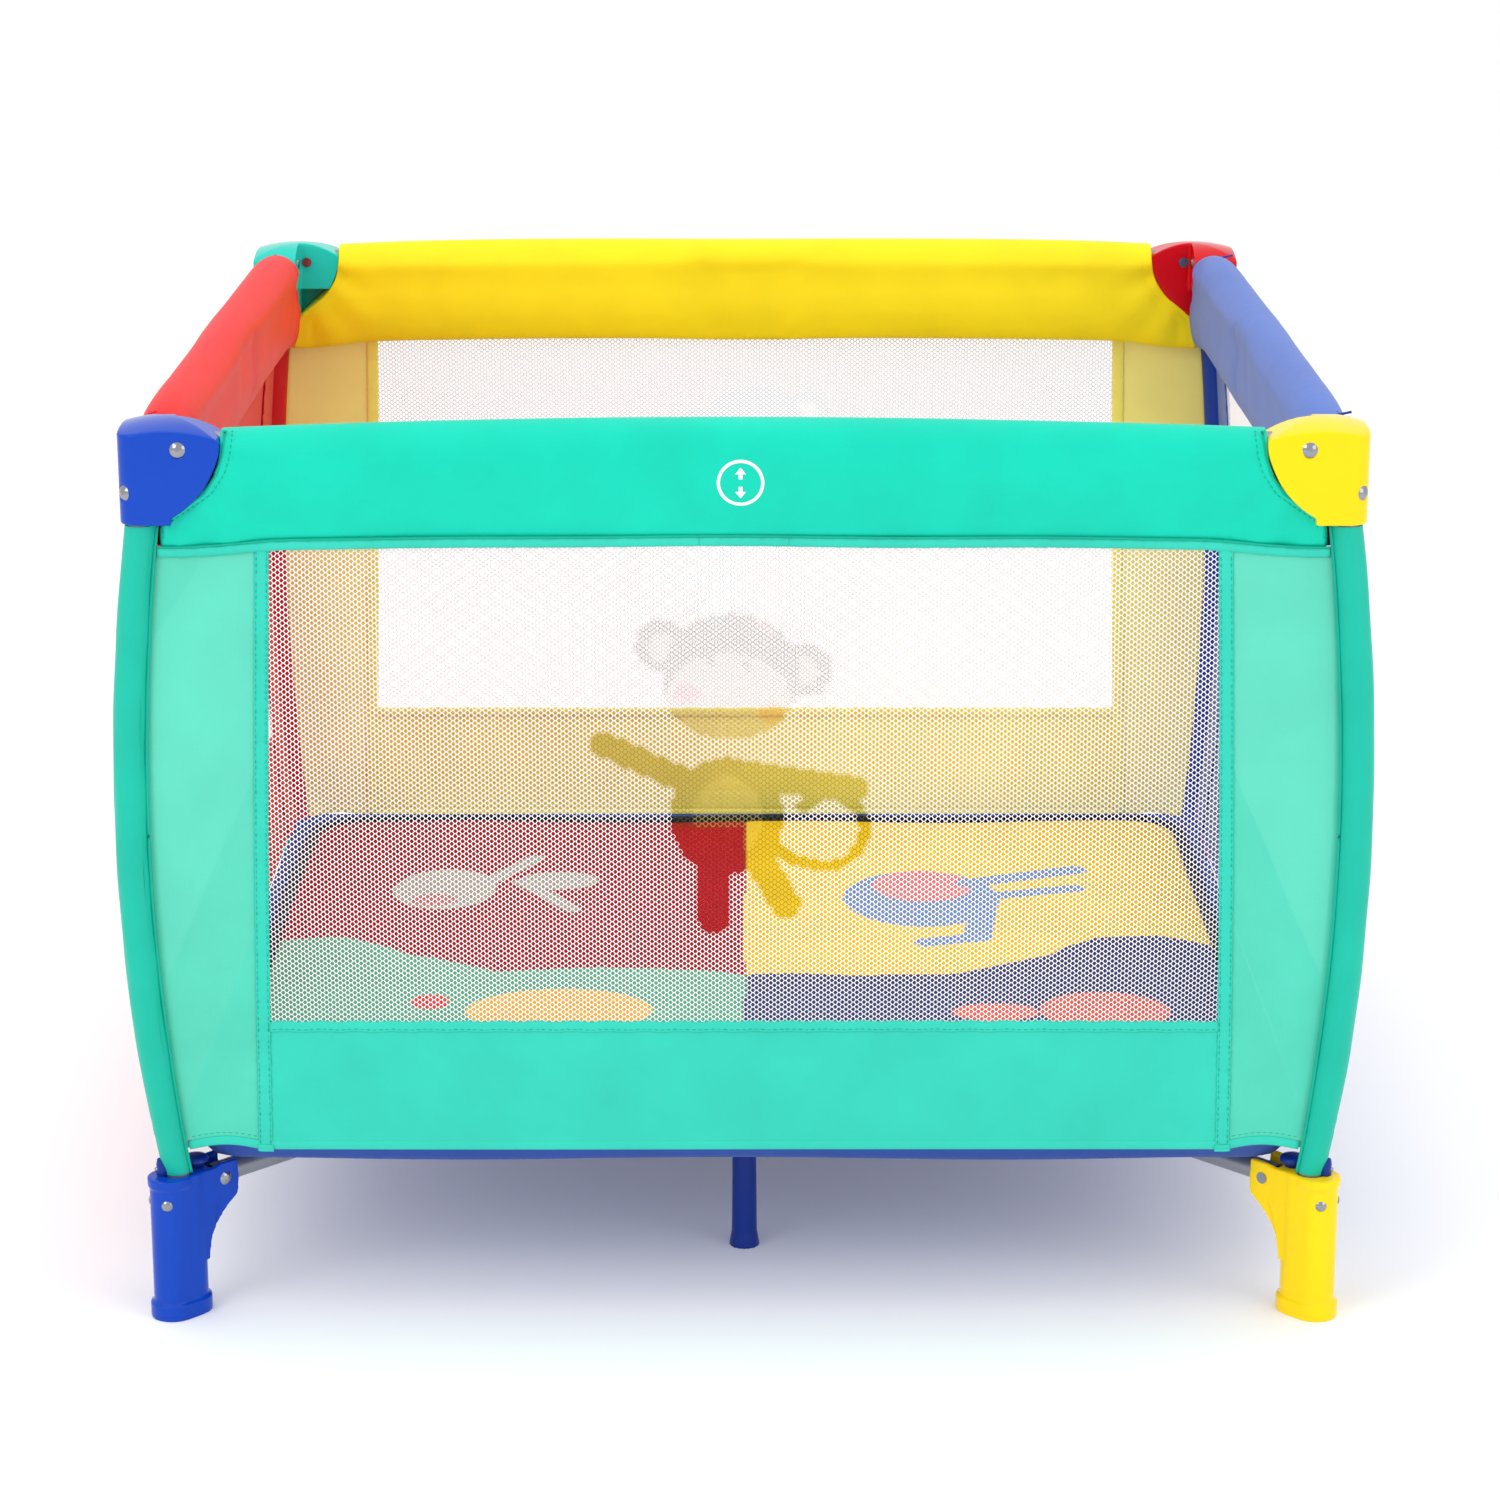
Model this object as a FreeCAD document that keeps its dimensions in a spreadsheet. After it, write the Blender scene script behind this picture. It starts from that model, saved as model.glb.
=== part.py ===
import FreeCAD, Part
import math
import os
from types import SimpleNamespace

# A square folding playpen. Millimetres, Z up, origin on the ground at the centre, front side at -Y.
# Corners are 0 front left, 1 front right, 2 back right, 3 back left, and side k runs from corner k to
# corner k + 1. Each sub-part is made in place at corner 0 or on side 0, then turned by 90 degrees * k.

Vector, Rotation, Placement = FreeCAD.Vector, FreeCAD.Rotation, FreeCAD.Placement
UP, ALONG_X, ALONG_Y = Vector(0, 0, 1), Vector(1, 0, 0), Vector(0, 1, 0)
CORNERS = ["front_left", "front_right", "back_right", "back_left"]
SIDES = ["front", "right", "back", "left"]
RAIL_ENDS = [("left", "right"), ("front", "back"), ("right", "left"), ("back", "front")]

driving = {
    # posts: half the distance between post lines at rail height, and their outward bow
    "postHalfSpan": 475, "postRadius": 11, "tubeWall": 1.2, "postBow": 24.5, "bowMiddle": 430,
    "bowHalf": 320, "postFoot": 84, "postTop": 743, "sleeveRadius": 14.5, "sleeveBottom": 131.5,
    "sleeveTop": 684, "slip": 0.3,
    # corner mouldings
    "capOutset": 25, "capWidth": 42.5, "capTop": 770, "capShoulder": 764, "capBottom": 688,
    "capReach": 83, "cornerRound": 16, "innerCheekTall": 77, "innerCheekShort": 48, "slotHalf": 11.2,
    "slotRoof": 762,
    # folding top rails and their locks
    "railHeight": 750, "railRadius": 10, "railPivot": 25, "pinRadius": 4, "pinSlip": 0.08, "capRivet": 3,
    "rivetRoom": 0.5,
    "tubeStub": 5, "stubRoom": 12.5, "lockWidth": 30, "lockBottom": 735, "lockTop": 758, "lockEnd": 14,
    "lockCore": 22, "bossHalf": 17, "bossBottom": 706, "buttonHeight": 722, "buttonRadius": 10,
    "buttonLength": 12, "buttonProud": 2, "buttonTravel": 3,
    # folding base
    "baseHeight": 114, "baseRadius": 9.5, "footArm": 36, "hubArm": 50, "strutHeight": 92,
    "strutRadius": 8, "strutArm": 80, "strutReach": 333, "midFootHead": 14, "midFootTop": 10.4,
    "midFootBottom": 13.5,
    # feet
    "footOut": 12.7, "footIn": 3.7, "footRadius": 16.5, "footFlare": 3, "flareHeight": 14,
    "footRing": 126, "ringRadius": 18, "ringHeight": 8, "bracketTop": 126, "bracketBottom": 98,
    "bracketHalf": 15, "webTop": 46,
    # hub
    "hubBottom": 78, "hubTop": 124, "hubRadius": 34, "lugHalf": 15, "hubSlot": 10.3,
    # soft parts
    "wallBottom": 156, "wallTop": 664, "wallThickness": 2.4, "wallGap": 17, "clothBottom": 128,
    "clothThickness": 1.6, "clothHalf": 468, "clothCorner": 42, "matHalf": 460, "matBottom": 132,
    "matThickness": 27, "matCorner": 60, "coverBottom": 668, "coverTop": 771, "coverHalf": 22,
    "coverWall": 3.6, "coverReach": 414,
}
# lengths that make the rails and the base tubes turn through equal angles as the frame folds
corner_run = driving["postHalfSpan"] * math.sqrt(2)
arm_offset = driving["footArm"] + driving["hubArm"]
base_length = corner_run - arm_offset
derived = {
    "postArcRadius": (driving["bowHalf"] ** 2 + 2 * driving["postBow"] ** 2)
    / (2 * math.sqrt(2) * driving["postBow"]),
    "wallArcRadius": (driving["bowHalf"] ** 2 + driving["postBow"] ** 2) / (2 * driving["postBow"]),
    "baseLength": base_length,
    "halfRail": base_length / math.sqrt(2),
    "lockPivot": arm_offset / math.sqrt(2) - driving["railPivot"],
    "strutLength": driving["strutReach"] - driving["strutArm"],
}

doc = FreeCAD.newDocument("Playpen")
sheet = doc.addObject("Spreadsheet::Sheet", "Sizes")
for row, (alias, value) in enumerate({**driving, **derived}.items(), 1):
    sheet.set(f"A{row}", alias)
    sheet.set(f"B{row}", repr(float(value)))
    sheet.setAlias(f"B{row}", alias)
doc.recompute()
mm = SimpleNamespace(**{alias: float(sheet.get(alias)) for alias in {**driving, **derived}})

made = {}  # node name -> the object that holds it
OUTER = mm.postHalfSpan + mm.capOutset
POST_LINE = Vector(-mm.postHalfSpan, -mm.postHalfSpan, 0)
INWARD = Vector(1, 1, 0).normalize()
ACROSS = Vector(-1, 1, 0).normalize()
CAP_RIVET_HEIGHT, FOOT_SCREW_HEIGHT = 714, 104
HEAD_SINK, HEAD_ROOM = 0.6, 0.1


def bind(item, **cells):
    """Ties properties to sheet cells: bind(tube, Radius="postRadius + slip")."""
    for prop, text in cells.items():
        words = [f"Sizes.{word}" if word[0].isalpha() else word for word in text.split()]
        item.setExpression(prop, " ".join(words))
    return item


def at_corner(inward, across, height):
    """A point along corner 0's diagonal from the post line, across it, and at a height."""
    return POST_LINE + INWARD * inward + ACROSS * across + UP * height


def bow_at(height):
    """How far the bowed post stands out along X or Y at a height."""
    return mm.postBow * (1 - ((height - mm.bowMiddle) / mm.bowHalf) ** 2)


def post_axis(height):
    return at_corner(-bow_at(height) * math.sqrt(2), 0, height)


def rod(name, radius, start, end):
    """A round bar between two points; its radius is bound to the sheet."""
    bar = bind(doc.addObject("Part::Cylinder", name), Radius=radius)
    bar.Height = (end - start).Length
    bar.Placement = Placement(start, Rotation(UP, end - start))
    return bar


def box(name, low, high):
    block = doc.addObject("Part::Box", name)
    block.Length, block.Width, block.Height = (high[i] - low[i] for i in range(3))
    block.Placement = Placement(Vector(*low), Rotation())
    return block


def fuse(name, pieces):
    whole = doc.addObject("Part::MultiFuse", name)
    whole.Shapes = pieces
    return whole


def cut(name, base, tools):
    result = doc.addObject("Part::Cut", name)
    result.Base = base
    result.Tool = tools[0] if len(tools) == 1 else fuse(f"{name}_tools", tools)
    return result


def common(name, one, other):
    result = doc.addObject("Part::Common", name)
    result.Base, result.Tool = one, other
    return result


def group(name, pieces):
    """Separate solids kept in one node."""
    bundle = doc.addObject("Part::Compound", name)
    bundle.Links = pieces
    return bundle


def plate(name, outline, thickness, plane="XY_Plane", shift=Vector()):
    """A sketch padded half to each side of its plane. A point with a third entry is an arc's middle."""
    body = doc.addObject("PartDesign::Body", name)
    sketch = body.newObject("Sketcher::SketchObject", f"{name}_outline")
    origin = next(f for f in body.Origin.OriginFeatures if f.Role == plane)
    sketch.AttachmentSupport = [(origin, "")]
    sketch.MapMode = "FlatFace"
    start, via = Vector(*outline[0][:2], 0), None
    for point in outline[1:] + outline[:1]:
        here = Vector(*point[:2], 0)
        if len(point) == 3:
            via = here
            continue
        edge = Part.Arc(start, via, here) if via else Part.LineSegment(start, here)
        sketch.addGeometry(edge, False)
        start, via = here, None
    pad = body.newObject("PartDesign::Pad", f"{name}_pad")
    pad.Profile = sketch
    pad.SideType = "Symmetric"
    bind(pad, Length=thickness)
    body.Placement = Placement(shift, Rotation())
    return body


def stadium(first, last, radius):
    """Two half circles on the X axis, joined by straight sides."""
    return [
        (first, radius), (first - radius, 0, "via"), (first, -radius),
        (last, -radius), (last + radius, 0, "via"), (last, radius),
    ]


def on_diagonal(item):
    """Moves something made about the origin to the post line, its X axis along the diagonal."""
    item.Placement = Placement(POST_LINE, Rotation(UP, 45)).multiply(item.Placement)
    return item


def bowed_rod(name, radius, low, high):
    """A stretch of the bowed post line: part of a torus in the corner's diagonal plane."""
    curve = bind(doc.addObject("Part::Torus", name), Radius1="postArcRadius", Radius2=radius)
    rise = [math.asin((height - mm.bowMiddle) / mm.postArcRadius) for height in (low, high)]
    curve.Angle1, curve.Angle2, curve.Angle3 = -180, 180, math.degrees(rise[1] - rise[0])
    start = INWARD * -math.cos(rise[0]) + UP * math.sin(rise[0])
    axle = UP.cross(INWARD)
    middle = at_corner(mm.postArcRadius - mm.postBow * math.sqrt(2), 0, mm.bowMiddle)
    curve.Placement = Placement(middle, Rotation(start, axle.cross(start), axle, "ZXY"))
    return curve


def rivet(name, radius, start, end, rim=6.2, crown=2.4):
    """A rivet whose domed head lies on the face at its start; its tail is a thin disc past its end."""
    line = (end - start).normalize()
    dome = doc.addObject("Part::Sphere", f"{name}_head")
    ball = (rim**2 + crown**2) / (2 * crown)
    dome.Radius, dome.Angle1 = ball, math.degrees(math.asin(1 - crown / ball))
    dome.Placement = Placement(start + line * (ball - crown), Rotation(UP, line * -1))
    tail = rod(f"{name}_tail", f"{radius} + 1", end, end + line)
    return fuse(name, [rod(f"{name}_shank", radius, start, end), dome, tail])


def tube(name, radius, start, end, pivots, across, hole="pinRadius + pinSlip"):
    """A straight tube drilled for its pins, with the stub of its stated length past each pivot."""
    line = (end - start).normalize()
    skin = rod(f"{name}_skin", radius, start, end)
    bore = rod(f"{name}_bore", f"{radius} - tubeWall", start - line, end + line)
    reach = across * 20
    holes = [rod(f"{name}_hole_{i}", hole, at - reach, at + reach) for i, at in enumerate(pivots)]
    return cut(name, skin, [bore] + holes)


def keep(name, item, quarter=0):
    """Turns a sub-part to its corner or side and lists it as a node."""
    item.Placement = Placement(Vector(), Rotation(UP, 90 * quarter)).multiply(item.Placement)
    made[name] = item


def post(tag):
    skin = bowed_rod(f"post_skin_{tag}", "postRadius", mm.postFoot, mm.postTop)
    bore = bowed_rod(f"post_bore_{tag}", "postRadius - tubeWall", mm.postFoot - 1, mm.postTop + 1)
    spot = post_axis(CAP_RIVET_HEIGHT)
    hole = rod(f"post_hole_{tag}", "capRivet + rivetRoom", spot - INWARD * 20, spot + INWARD * 20)
    return cut(f"post_tube_{tag}", skin, [bore, hole])


def post_sleeve(tag):
    skin = bowed_rod(f"sleeve_skin_{tag}", "sleeveRadius", mm.sleeveBottom, mm.sleeveTop)
    bore = bowed_rod(f"sleeve_bore_{tag}", "postRadius + slip", mm.sleeveBottom - 1, mm.sleeveTop + 1)
    return cut(f"sleeve_{tag}", skin, [bore])


def wing(name, plane, across, cheek):
    """One leaf-shaped wing of a corner moulding; its cheek on the inner side is lower."""
    tip, top = mm.capReach - OUTER, mm.capTop
    leaf = [
        (-OUTER, mm.capBottom), (28 - OUTER, mm.capBottom), (tip - 17, mm.capBottom + 25, "via"),
        (tip, top - 13), (tip, mm.capShoulder - 1), (mm.capReach / 2 - OUTER, top, "via"),
        (-OUTER, mm.capShoulder),
    ]
    whole = plate(name, leaf, "capWidth", plane, across * (mm.capWidth / 2 - OUTER))
    face = mm.capWidth - OUTER
    low, high = mm.capBottom - 1, top - cheek
    sizes = [(face - 8, tip + 1), (face, tip + 1)]
    spans = [(face, tip + 1), (face - 8, face + 1)]
    if across == ALONG_X:
        spans.reverse()
    (x_low, x_high), (y_low, y_high) = spans
    return cut(f"{name}_cheek", whole, [box(f"{name}_low", (x_low, y_low, low), (x_high, y_high, high))])


def corner_cap(tag):
    wings = [
        wing(f"wing_x_{tag}", "XZ_Plane", ALONG_Y, mm.innerCheekTall),
        wing(f"wing_y_{tag}", "YZ_Plane", ALONG_X, mm.innerCheekShort),
    ]
    curve, far = mm.cornerRound, mm.capReach + 2 - OUTER
    bend = curve * (1 - math.sqrt(0.5))
    rounded = [
        (-OUTER, curve - OUTER), (bend - OUTER, bend - OUTER, "via"), (curve - OUTER, -OUTER),
        (far, -OUTER), (far, far), (-OUTER, far),
    ]
    shell = plate(f"cap_plan_{tag}", rounded, "capTop", shift=UP * mm.capTop / 2)
    block = common(f"cap_block_{tag}", fuse(f"cap_wings_{tag}", wings), shell)
    line, half, low = mm.postHalfSpan, mm.slotHalf, mm.capBottom - 1
    start, end = mm.railPivot - mm.stubRoom - line, far + 1
    spot, seat = post_axis(CAP_RIVET_HEIGHT), cap_rivet_seat()
    pivot_x, pivot_y = rail_pivot(ALONG_X), rail_pivot(ALONG_Y)
    tools = [
        box(f"slot_x_{tag}", (start, -line - half, low), (end, half - line, mm.slotRoof)),
        box(f"slot_y_{tag}", (-line - half, start, low), (half - line, end, mm.slotRoof)),
        bowed_rod(f"cap_bore_{tag}", "postRadius + slip", mm.capBottom - 6, mm.postTop + 1),
        rod(f"hole_x_{tag}", "pinRadius + pinSlip", pivot_x - ALONG_Y * 30, pivot_x + ALONG_Y * 30),
        rod(f"hole_y_{tag}", "pinRadius + pinSlip", pivot_y - ALONG_X * 30, pivot_y + ALONG_X * 30),
        rod(f"hole_post_{tag}", "capRivet + rivetRoom * 3", spot - INWARD * 30, spot + INWARD * 15.5),
        rod(f"spot_face_{tag}", "capRivet * 2 + rivetRoom * 2", seat - INWARD * 9, seat),
    ]
    return cut(f"cap_{tag}", block, tools)


def rail_pivot(along):
    """Where a rail turns in its corner moulding, on the post line."""
    return POST_LINE + along * mm.railPivot + UP * mm.railHeight


def cap_rivet_seat():
    """The flat sunk in the moulding's round corner for its rivet's head."""
    corner = (mm.capOutset - mm.cornerRound) * math.sqrt(2) + mm.cornerRound
    return at_corner(HEAD_SINK * 2 - corner, 0, CAP_RIVET_HEIGHT)


def foot_screw_seat(across):
    """The flat sunk in the foot's round column for a screw's head."""
    return at_corner(-mm.footOut, 0, FOOT_SCREW_HEIGHT) - across * (mm.footRadius - HEAD_SINK)


def rivets(tag):
    """Both rail rivets, the moulding's rivet, the base tube's rivet and the two foot screws."""
    pieces = []
    for name, along, across in (("x", ALONG_X, ALONG_Y), ("y", ALONG_Y, ALONG_X)):
        face = rail_pivot(along) - across * mm.capOutset
        pieces.append(rivet(f"rail_rivet_{name}_{tag}", "pinRadius", face, face + across * mm.capWidth))
        screw = foot_screw_seat(across) - across * HEAD_ROOM
        pieces.append(rivet(f"screw_{name}_{tag}", "capRivet - 1", screw, screw + across * 4, 4.6, 1.8))
    outside, inside = cap_rivet_seat() - INWARD * HEAD_ROOM, post_axis(CAP_RIVET_HEIGHT) + INWARD * 13.5
    pieces.append(rivet(f"cap_rivet_{tag}", "capRivet", outside, inside))
    ends = [at_corner(mm.footArm, side * mm.bracketHalf, mm.baseHeight) for side in (-1, 1)]
    pieces.append(rivet(f"base_rivet_{tag}", "pinRadius", *ends))
    return group(f"rivets_{tag}", pieces)


def foot(tag):
    first, last = -mm.footOut, mm.footIn
    half = UP / 2
    column = plate(f"foot_column_{tag}", stadium(first, last, mm.footRadius), "footRing",
                   shift=half * mm.footRing)
    flare = plate(f"foot_flare_{tag}", stadium(first, last, mm.footRadius + mm.footFlare), "flareHeight",
                  shift=half * mm.flareHeight)
    ring = plate(f"foot_ring_{tag}", stadium(first, first + 4, mm.ringRadius), "ringHeight",
                 shift=UP * (mm.footRing - mm.ringHeight / 2))
    tip, top, low = mm.footArm, mm.bracketTop, mm.bracketBottom
    nose = (top - low) / 2
    side = [
        (first, top), (tip, top), (tip + nose, low + nose, "via"), (tip, low), (tip - 6, low),
        (last + mm.footRadius + 1, mm.webTop + 26, "via"), (last + mm.footRadius - 4, mm.webTop),
        (first, mm.webTop),
    ]
    bracket = plate(f"foot_bracket_{tag}", side, "bracketHalf * 2", "XZ_Plane")
    whole = on_diagonal(fuse(f"foot_body_{tag}", [column, flare, ring, bracket]))
    room = mm.footArm - mm.stubRoom
    slot = on_diagonal(box(f"foot_slot_{tag}", (room, -mm.hubSlot, mm.baseHeight - mm.stubRoom + 0.8),
                           (tip + nose + 2, mm.hubSlot, top + 1)))
    bore = bowed_rod(f"foot_bore_{tag}", "postRadius + slip", mm.postFoot - 0.5, mm.footRing + 4)
    ends = [at_corner(tip, side * 20, mm.baseHeight) for side in (-1, 1)]
    hole = rod(f"foot_hole_{tag}", "pinRadius + pinSlip", *ends)
    tools = [slot, bore, hole]
    for name, across in (("x", ALONG_Y), ("y", ALONG_X)):
        seat = foot_screw_seat(across)
        tools.append(rod(f"screw_face_{name}_{tag}", "capRivet + rivetRoom * 4", seat - across * 6, seat))
        tools.append(rod(f"screw_hole_{name}_{tag}", "capRivet + rivetRoom", seat, seat + across * 5.6))
    return cut(f"foot_{tag}", whole, tools)


def base_tube(tag):
    pivots = [at_corner(run, 0, mm.baseHeight) for run in (mm.footArm, mm.footArm + mm.baseLength)]
    stub = INWARD * mm.tubeStub
    return tube(f"base_{tag}", "baseRadius", pivots[0] - stub, pivots[1] + stub, pivots, ACROSS)


def side_point(run, height):
    """A point on side 0's rail line."""
    return Vector(run, -mm.postHalfSpan, height)


def half_rail(tag, end):
    """One half of a top rail; end is -1 for the half at the side's first corner."""
    outer, inner = mm.postHalfSpan - mm.railPivot, mm.lockPivot
    pivots = [side_point(end * run, mm.railHeight) for run in (outer, inner)]
    stub = ALONG_X * (end * mm.tubeStub)
    return tube(f"rail_{tag}", "railRadius", pivots[0] + stub, pivots[1] - stub, pivots, ALONG_Y)


def rail_lock(tag):
    line, half, ends = mm.postHalfSpan, mm.lockWidth / 2, mm.lockPivot + mm.lockEnd
    body = box(f"lock_body_{tag}", (-ends, -line - half, mm.lockBottom), (ends, half - line, mm.lockTop))
    boss = box(f"lock_boss_{tag}", (-mm.bossHalf, -line - half, mm.bossBottom),
               (mm.bossHalf, half - line, mm.lockBottom + 1))
    floor, room = mm.railHeight - mm.stubRoom + 0.8, mm.lockPivot - mm.stubRoom + 0.5
    tools = [
        box(f"lock_slot_{n}_{tag}", (low, -line - mm.hubSlot - 0.5, floor),
            (high, mm.hubSlot + 0.5 - line, mm.lockTop + 1))
        for n, (low, high) in enumerate([(-ends - 1, -room), (room, ends + 1)])
    ]
    tools += [
        rod(f"lock_hole_{n}_{tag}", "pinRadius + pinSlip", at - ALONG_Y * 20, at + ALONG_Y * 20)
        for n, at in enumerate(lock_pivots())
    ]
    front = side_point(0, mm.buttonHeight) - ALONG_Y * (half + 1)
    tools.append(rod(f"lock_bore_{tag}", "buttonRadius + 0.1", front, side_point(0, mm.buttonHeight)))
    return cut(f"lock_{tag}", fuse(f"lock_block_{tag}", [body, boss]), tools)


def lock_pivots():
    return [side_point(end * mm.lockPivot, mm.railHeight) for end in (-1, 1)]


def release_button(tag):
    front = side_point(0, mm.buttonHeight) - ALONG_Y * (mm.lockWidth / 2 + mm.buttonProud)
    return rod(f"button_{tag}", "buttonRadius", front, front + ALONG_Y * mm.buttonLength)


def lock_pins(tag):
    half = ALONG_Y * (mm.lockWidth / 2)
    pins = []
    for n, at in enumerate(lock_pivots()):
        shank = rod(f"lock_pin_shank_{n}_{tag}", "pinRadius", at - half, at + half)
        heads = [
            rod(f"lock_pin_head_{n}_{m}_{tag}", "pinRadius + 2", at + half * end, at + half * end * 1.08)
            for m, end in enumerate((-1, 1))
        ]
        pins.append(fuse(f"lock_pin_{n}_{tag}", [shank] + heads))
    return group(f"pins_{tag}", pins)


def rail_cover(tag):
    """The padded cover over a rail: an upside-down channel, open below."""
    line, half, wall = mm.postHalfSpan, mm.coverHalf, mm.coverWall
    spring, low, top = mm.coverTop - mm.coverHalf, mm.coverBottom, mm.coverTop
    channel = [
        (-line - half, low), (-line - half, spring), (-line, top, "via"), (half - line, spring),
        (half - line, low), (half - wall - line, low), (half - wall - line, spring),
        (-line, top - wall, "via"), (wall - half - line, spring), (wall - half - line, low),
    ]
    return plate(f"cover_{tag}", channel, "coverReach * 2", "YZ_Plane")


def wall(tag):
    """A side's fabric wall, bowed outward between the bowed posts."""
    line, half = mm.postHalfSpan, mm.wallThickness / 2
    ends = (mm.bowMiddle - mm.bowHalf, mm.bowMiddle + mm.bowHalf)
    crown = -line - mm.postBow
    section = [
        (-line - half, ends[0]), (crown - half, mm.bowMiddle, "via"), (-line - half, ends[1]),
        (half - line, ends[1]), (crown + half, mm.bowMiddle, "via"), (half - line, ends[0]),
    ]
    edge = {height: line - mm.wallGap + bow_at(height) for height in (mm.wallBottom, mm.wallTop)}
    widest = line - mm.wallGap + mm.postBow
    outline = [
        (-edge[mm.wallBottom], mm.wallBottom), (edge[mm.wallBottom], mm.wallBottom),
        (widest, mm.bowMiddle, "via"), (edge[mm.wallTop], mm.wallTop),
        (-edge[mm.wallTop], mm.wallTop), (-widest, mm.bowMiddle, "via"),
    ]
    sheet_body = plate(f"wall_section_{tag}", section, "postHalfSpan * 2.2", "YZ_Plane")
    frame_body = plate(f"wall_outline_{tag}", outline, "postHalfSpan * 4", "XZ_Plane")
    return common(f"panel_{tag}", sheet_body, frame_body)


def hub():
    core = bind(doc.addObject("Part::Cylinder", "hub_core"), Radius="hubRadius",
                Height="hubTop - hubBottom")
    core.Placement = Placement(UP * mm.hubBottom, Rotation())
    reach, half, slot = mm.hubArm + 12, mm.lugHalf, mm.hubSlot
    low, top = mm.hubBottom, mm.hubTop
    blocks, tools = [core], []
    for quarter in range(4):
        turn = Placement(Vector(), Rotation(UP, 45 + 90 * quarter))
        lug = box(f"lug_{quarter}", (0, -half, low + 8), (reach, half, top))
        gap = box(f"lug_slot_{quarter}", (mm.hubArm - mm.stubRoom, -slot, low), (reach + 1, slot, top + 1))
        hole = rod(f"lug_hole_{quarter}", "pinRadius + pinSlip",
                   Vector(mm.hubArm, -20, mm.baseHeight), Vector(mm.hubArm, 20, mm.baseHeight))
        for item in (lug, gap, hole):
            item.Placement = turn.multiply(item.Placement)
        blocks.append(lug)
        tools += [gap, hole]
    far, thin, room = mm.strutArm + 10, 13, mm.strutRadius + 0.8
    for name, turn in (("front", -90), ("back", 90)):
        lug = box(f"strut_lug_{name}", (0, -thin, low), (far, thin, mm.strutHeight + 16))
        gap = box(f"strut_slot_{name}", (mm.strutArm - 11, -room, low - 1), (far + 1, room, top + 1))
        hole = rod(f"strut_hole_{name}", "capRivet + pinSlip",
                   Vector(mm.strutArm, -20, mm.strutHeight), Vector(mm.strutArm, 20, mm.strutHeight))
        for item in (lug, gap, hole):
            item.Placement = Placement(Vector(), Rotation(UP, turn)).multiply(item.Placement)
        blocks.append(lug)
        tools += [gap, hole]
    return cut("hub_body", fuse("hub_block", blocks), tools)


def hub_pins():
    pins = []
    for quarter in range(4):
        bar = rod(f"hub_pin_{quarter}", "pinRadius", Vector(mm.hubArm, -mm.lugHalf - 1, mm.baseHeight),
                  Vector(mm.hubArm, mm.lugHalf + 1, mm.baseHeight))
        bar.Placement = Placement(Vector(), Rotation(UP, 45 + 90 * quarter)).multiply(bar.Placement)
        pins.append(bar)
    for name, end in (("front", -1), ("back", 1)):
        pins.append(rod(f"strut_pin_{name}", "capRivet", Vector(-14, end * mm.strutArm, mm.strutHeight),
                        Vector(14, end * mm.strutArm, mm.strutHeight)))
    return group("hub_pin_set", pins)


def mid_strut(tag):
    start = Vector(0, -mm.strutArm, mm.strutHeight)
    stop = Vector(0, 15 - mm.strutReach, mm.strutHeight)
    return tube(f"strut_{tag}", "strutRadius", start + ALONG_Y * mm.tubeStub, stop, [start], ALONG_X,
                "capRivet + pinSlip")


def mid_foot(tag):
    """The middle foot: a tapered column with a socket that takes the end of its strut."""
    base = Vector(0, -mm.strutReach, 0)
    flare = bind(doc.addObject("Part::Cone", f"mid_flare_{tag}"), Radius1="midFootBottom",
                 Radius2="midFootTop + 0.8", Height="flareHeight")
    column = bind(doc.addObject("Part::Cone", f"mid_column_{tag}"), Radius1="midFootTop + 0.8",
                  Radius2="midFootTop", Height="strutHeight + midFootHead - flareHeight")
    flare.Placement = Placement(base, Rotation())
    column.Placement = Placement(base + UP * mm.flareHeight, Rotation())
    level = base + UP * mm.strutHeight
    socket = rod(f"mid_socket_{tag}", "strutRadius + 3", level, level + ALONG_Y * 30)
    bore = rod(f"mid_bore_{tag}", "strutRadius + slip", level + ALONG_Y * 14, level + ALONG_Y * 31)
    return cut(f"mid_{tag}", fuse(f"mid_block_{tag}", [flare, column, socket]), [bore])


def floor_cloth():
    half, corner = mm.clothHalf, mm.clothHalf - mm.clothCorner
    outline = [
        (-corner, -half), (corner, -half), (half, -corner), (half, corner),
        (corner, half), (-corner, half), (-half, corner), (-half, -corner),
    ]
    return plate("cloth", outline, "clothThickness", shift=UP * (mm.clothBottom + mm.clothThickness / 2))


def play_mat():
    half, corner = mm.matHalf, mm.matHalf - mm.matCorner
    bend = corner + mm.matCorner * math.sqrt(0.5)
    outline = [
        (-corner, -half), (corner, -half), (bend, -bend, "via"), (half, -corner),
        (half, corner), (bend, bend, "via"), (corner, half),
        (-corner, half), (-bend, bend, "via"), (-half, corner),
        (-half, -corner), (-bend, -bend, "via"),
    ]
    return plate("mat", outline, "matThickness", shift=UP * (mm.matBottom + mm.matThickness / 2))


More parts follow.
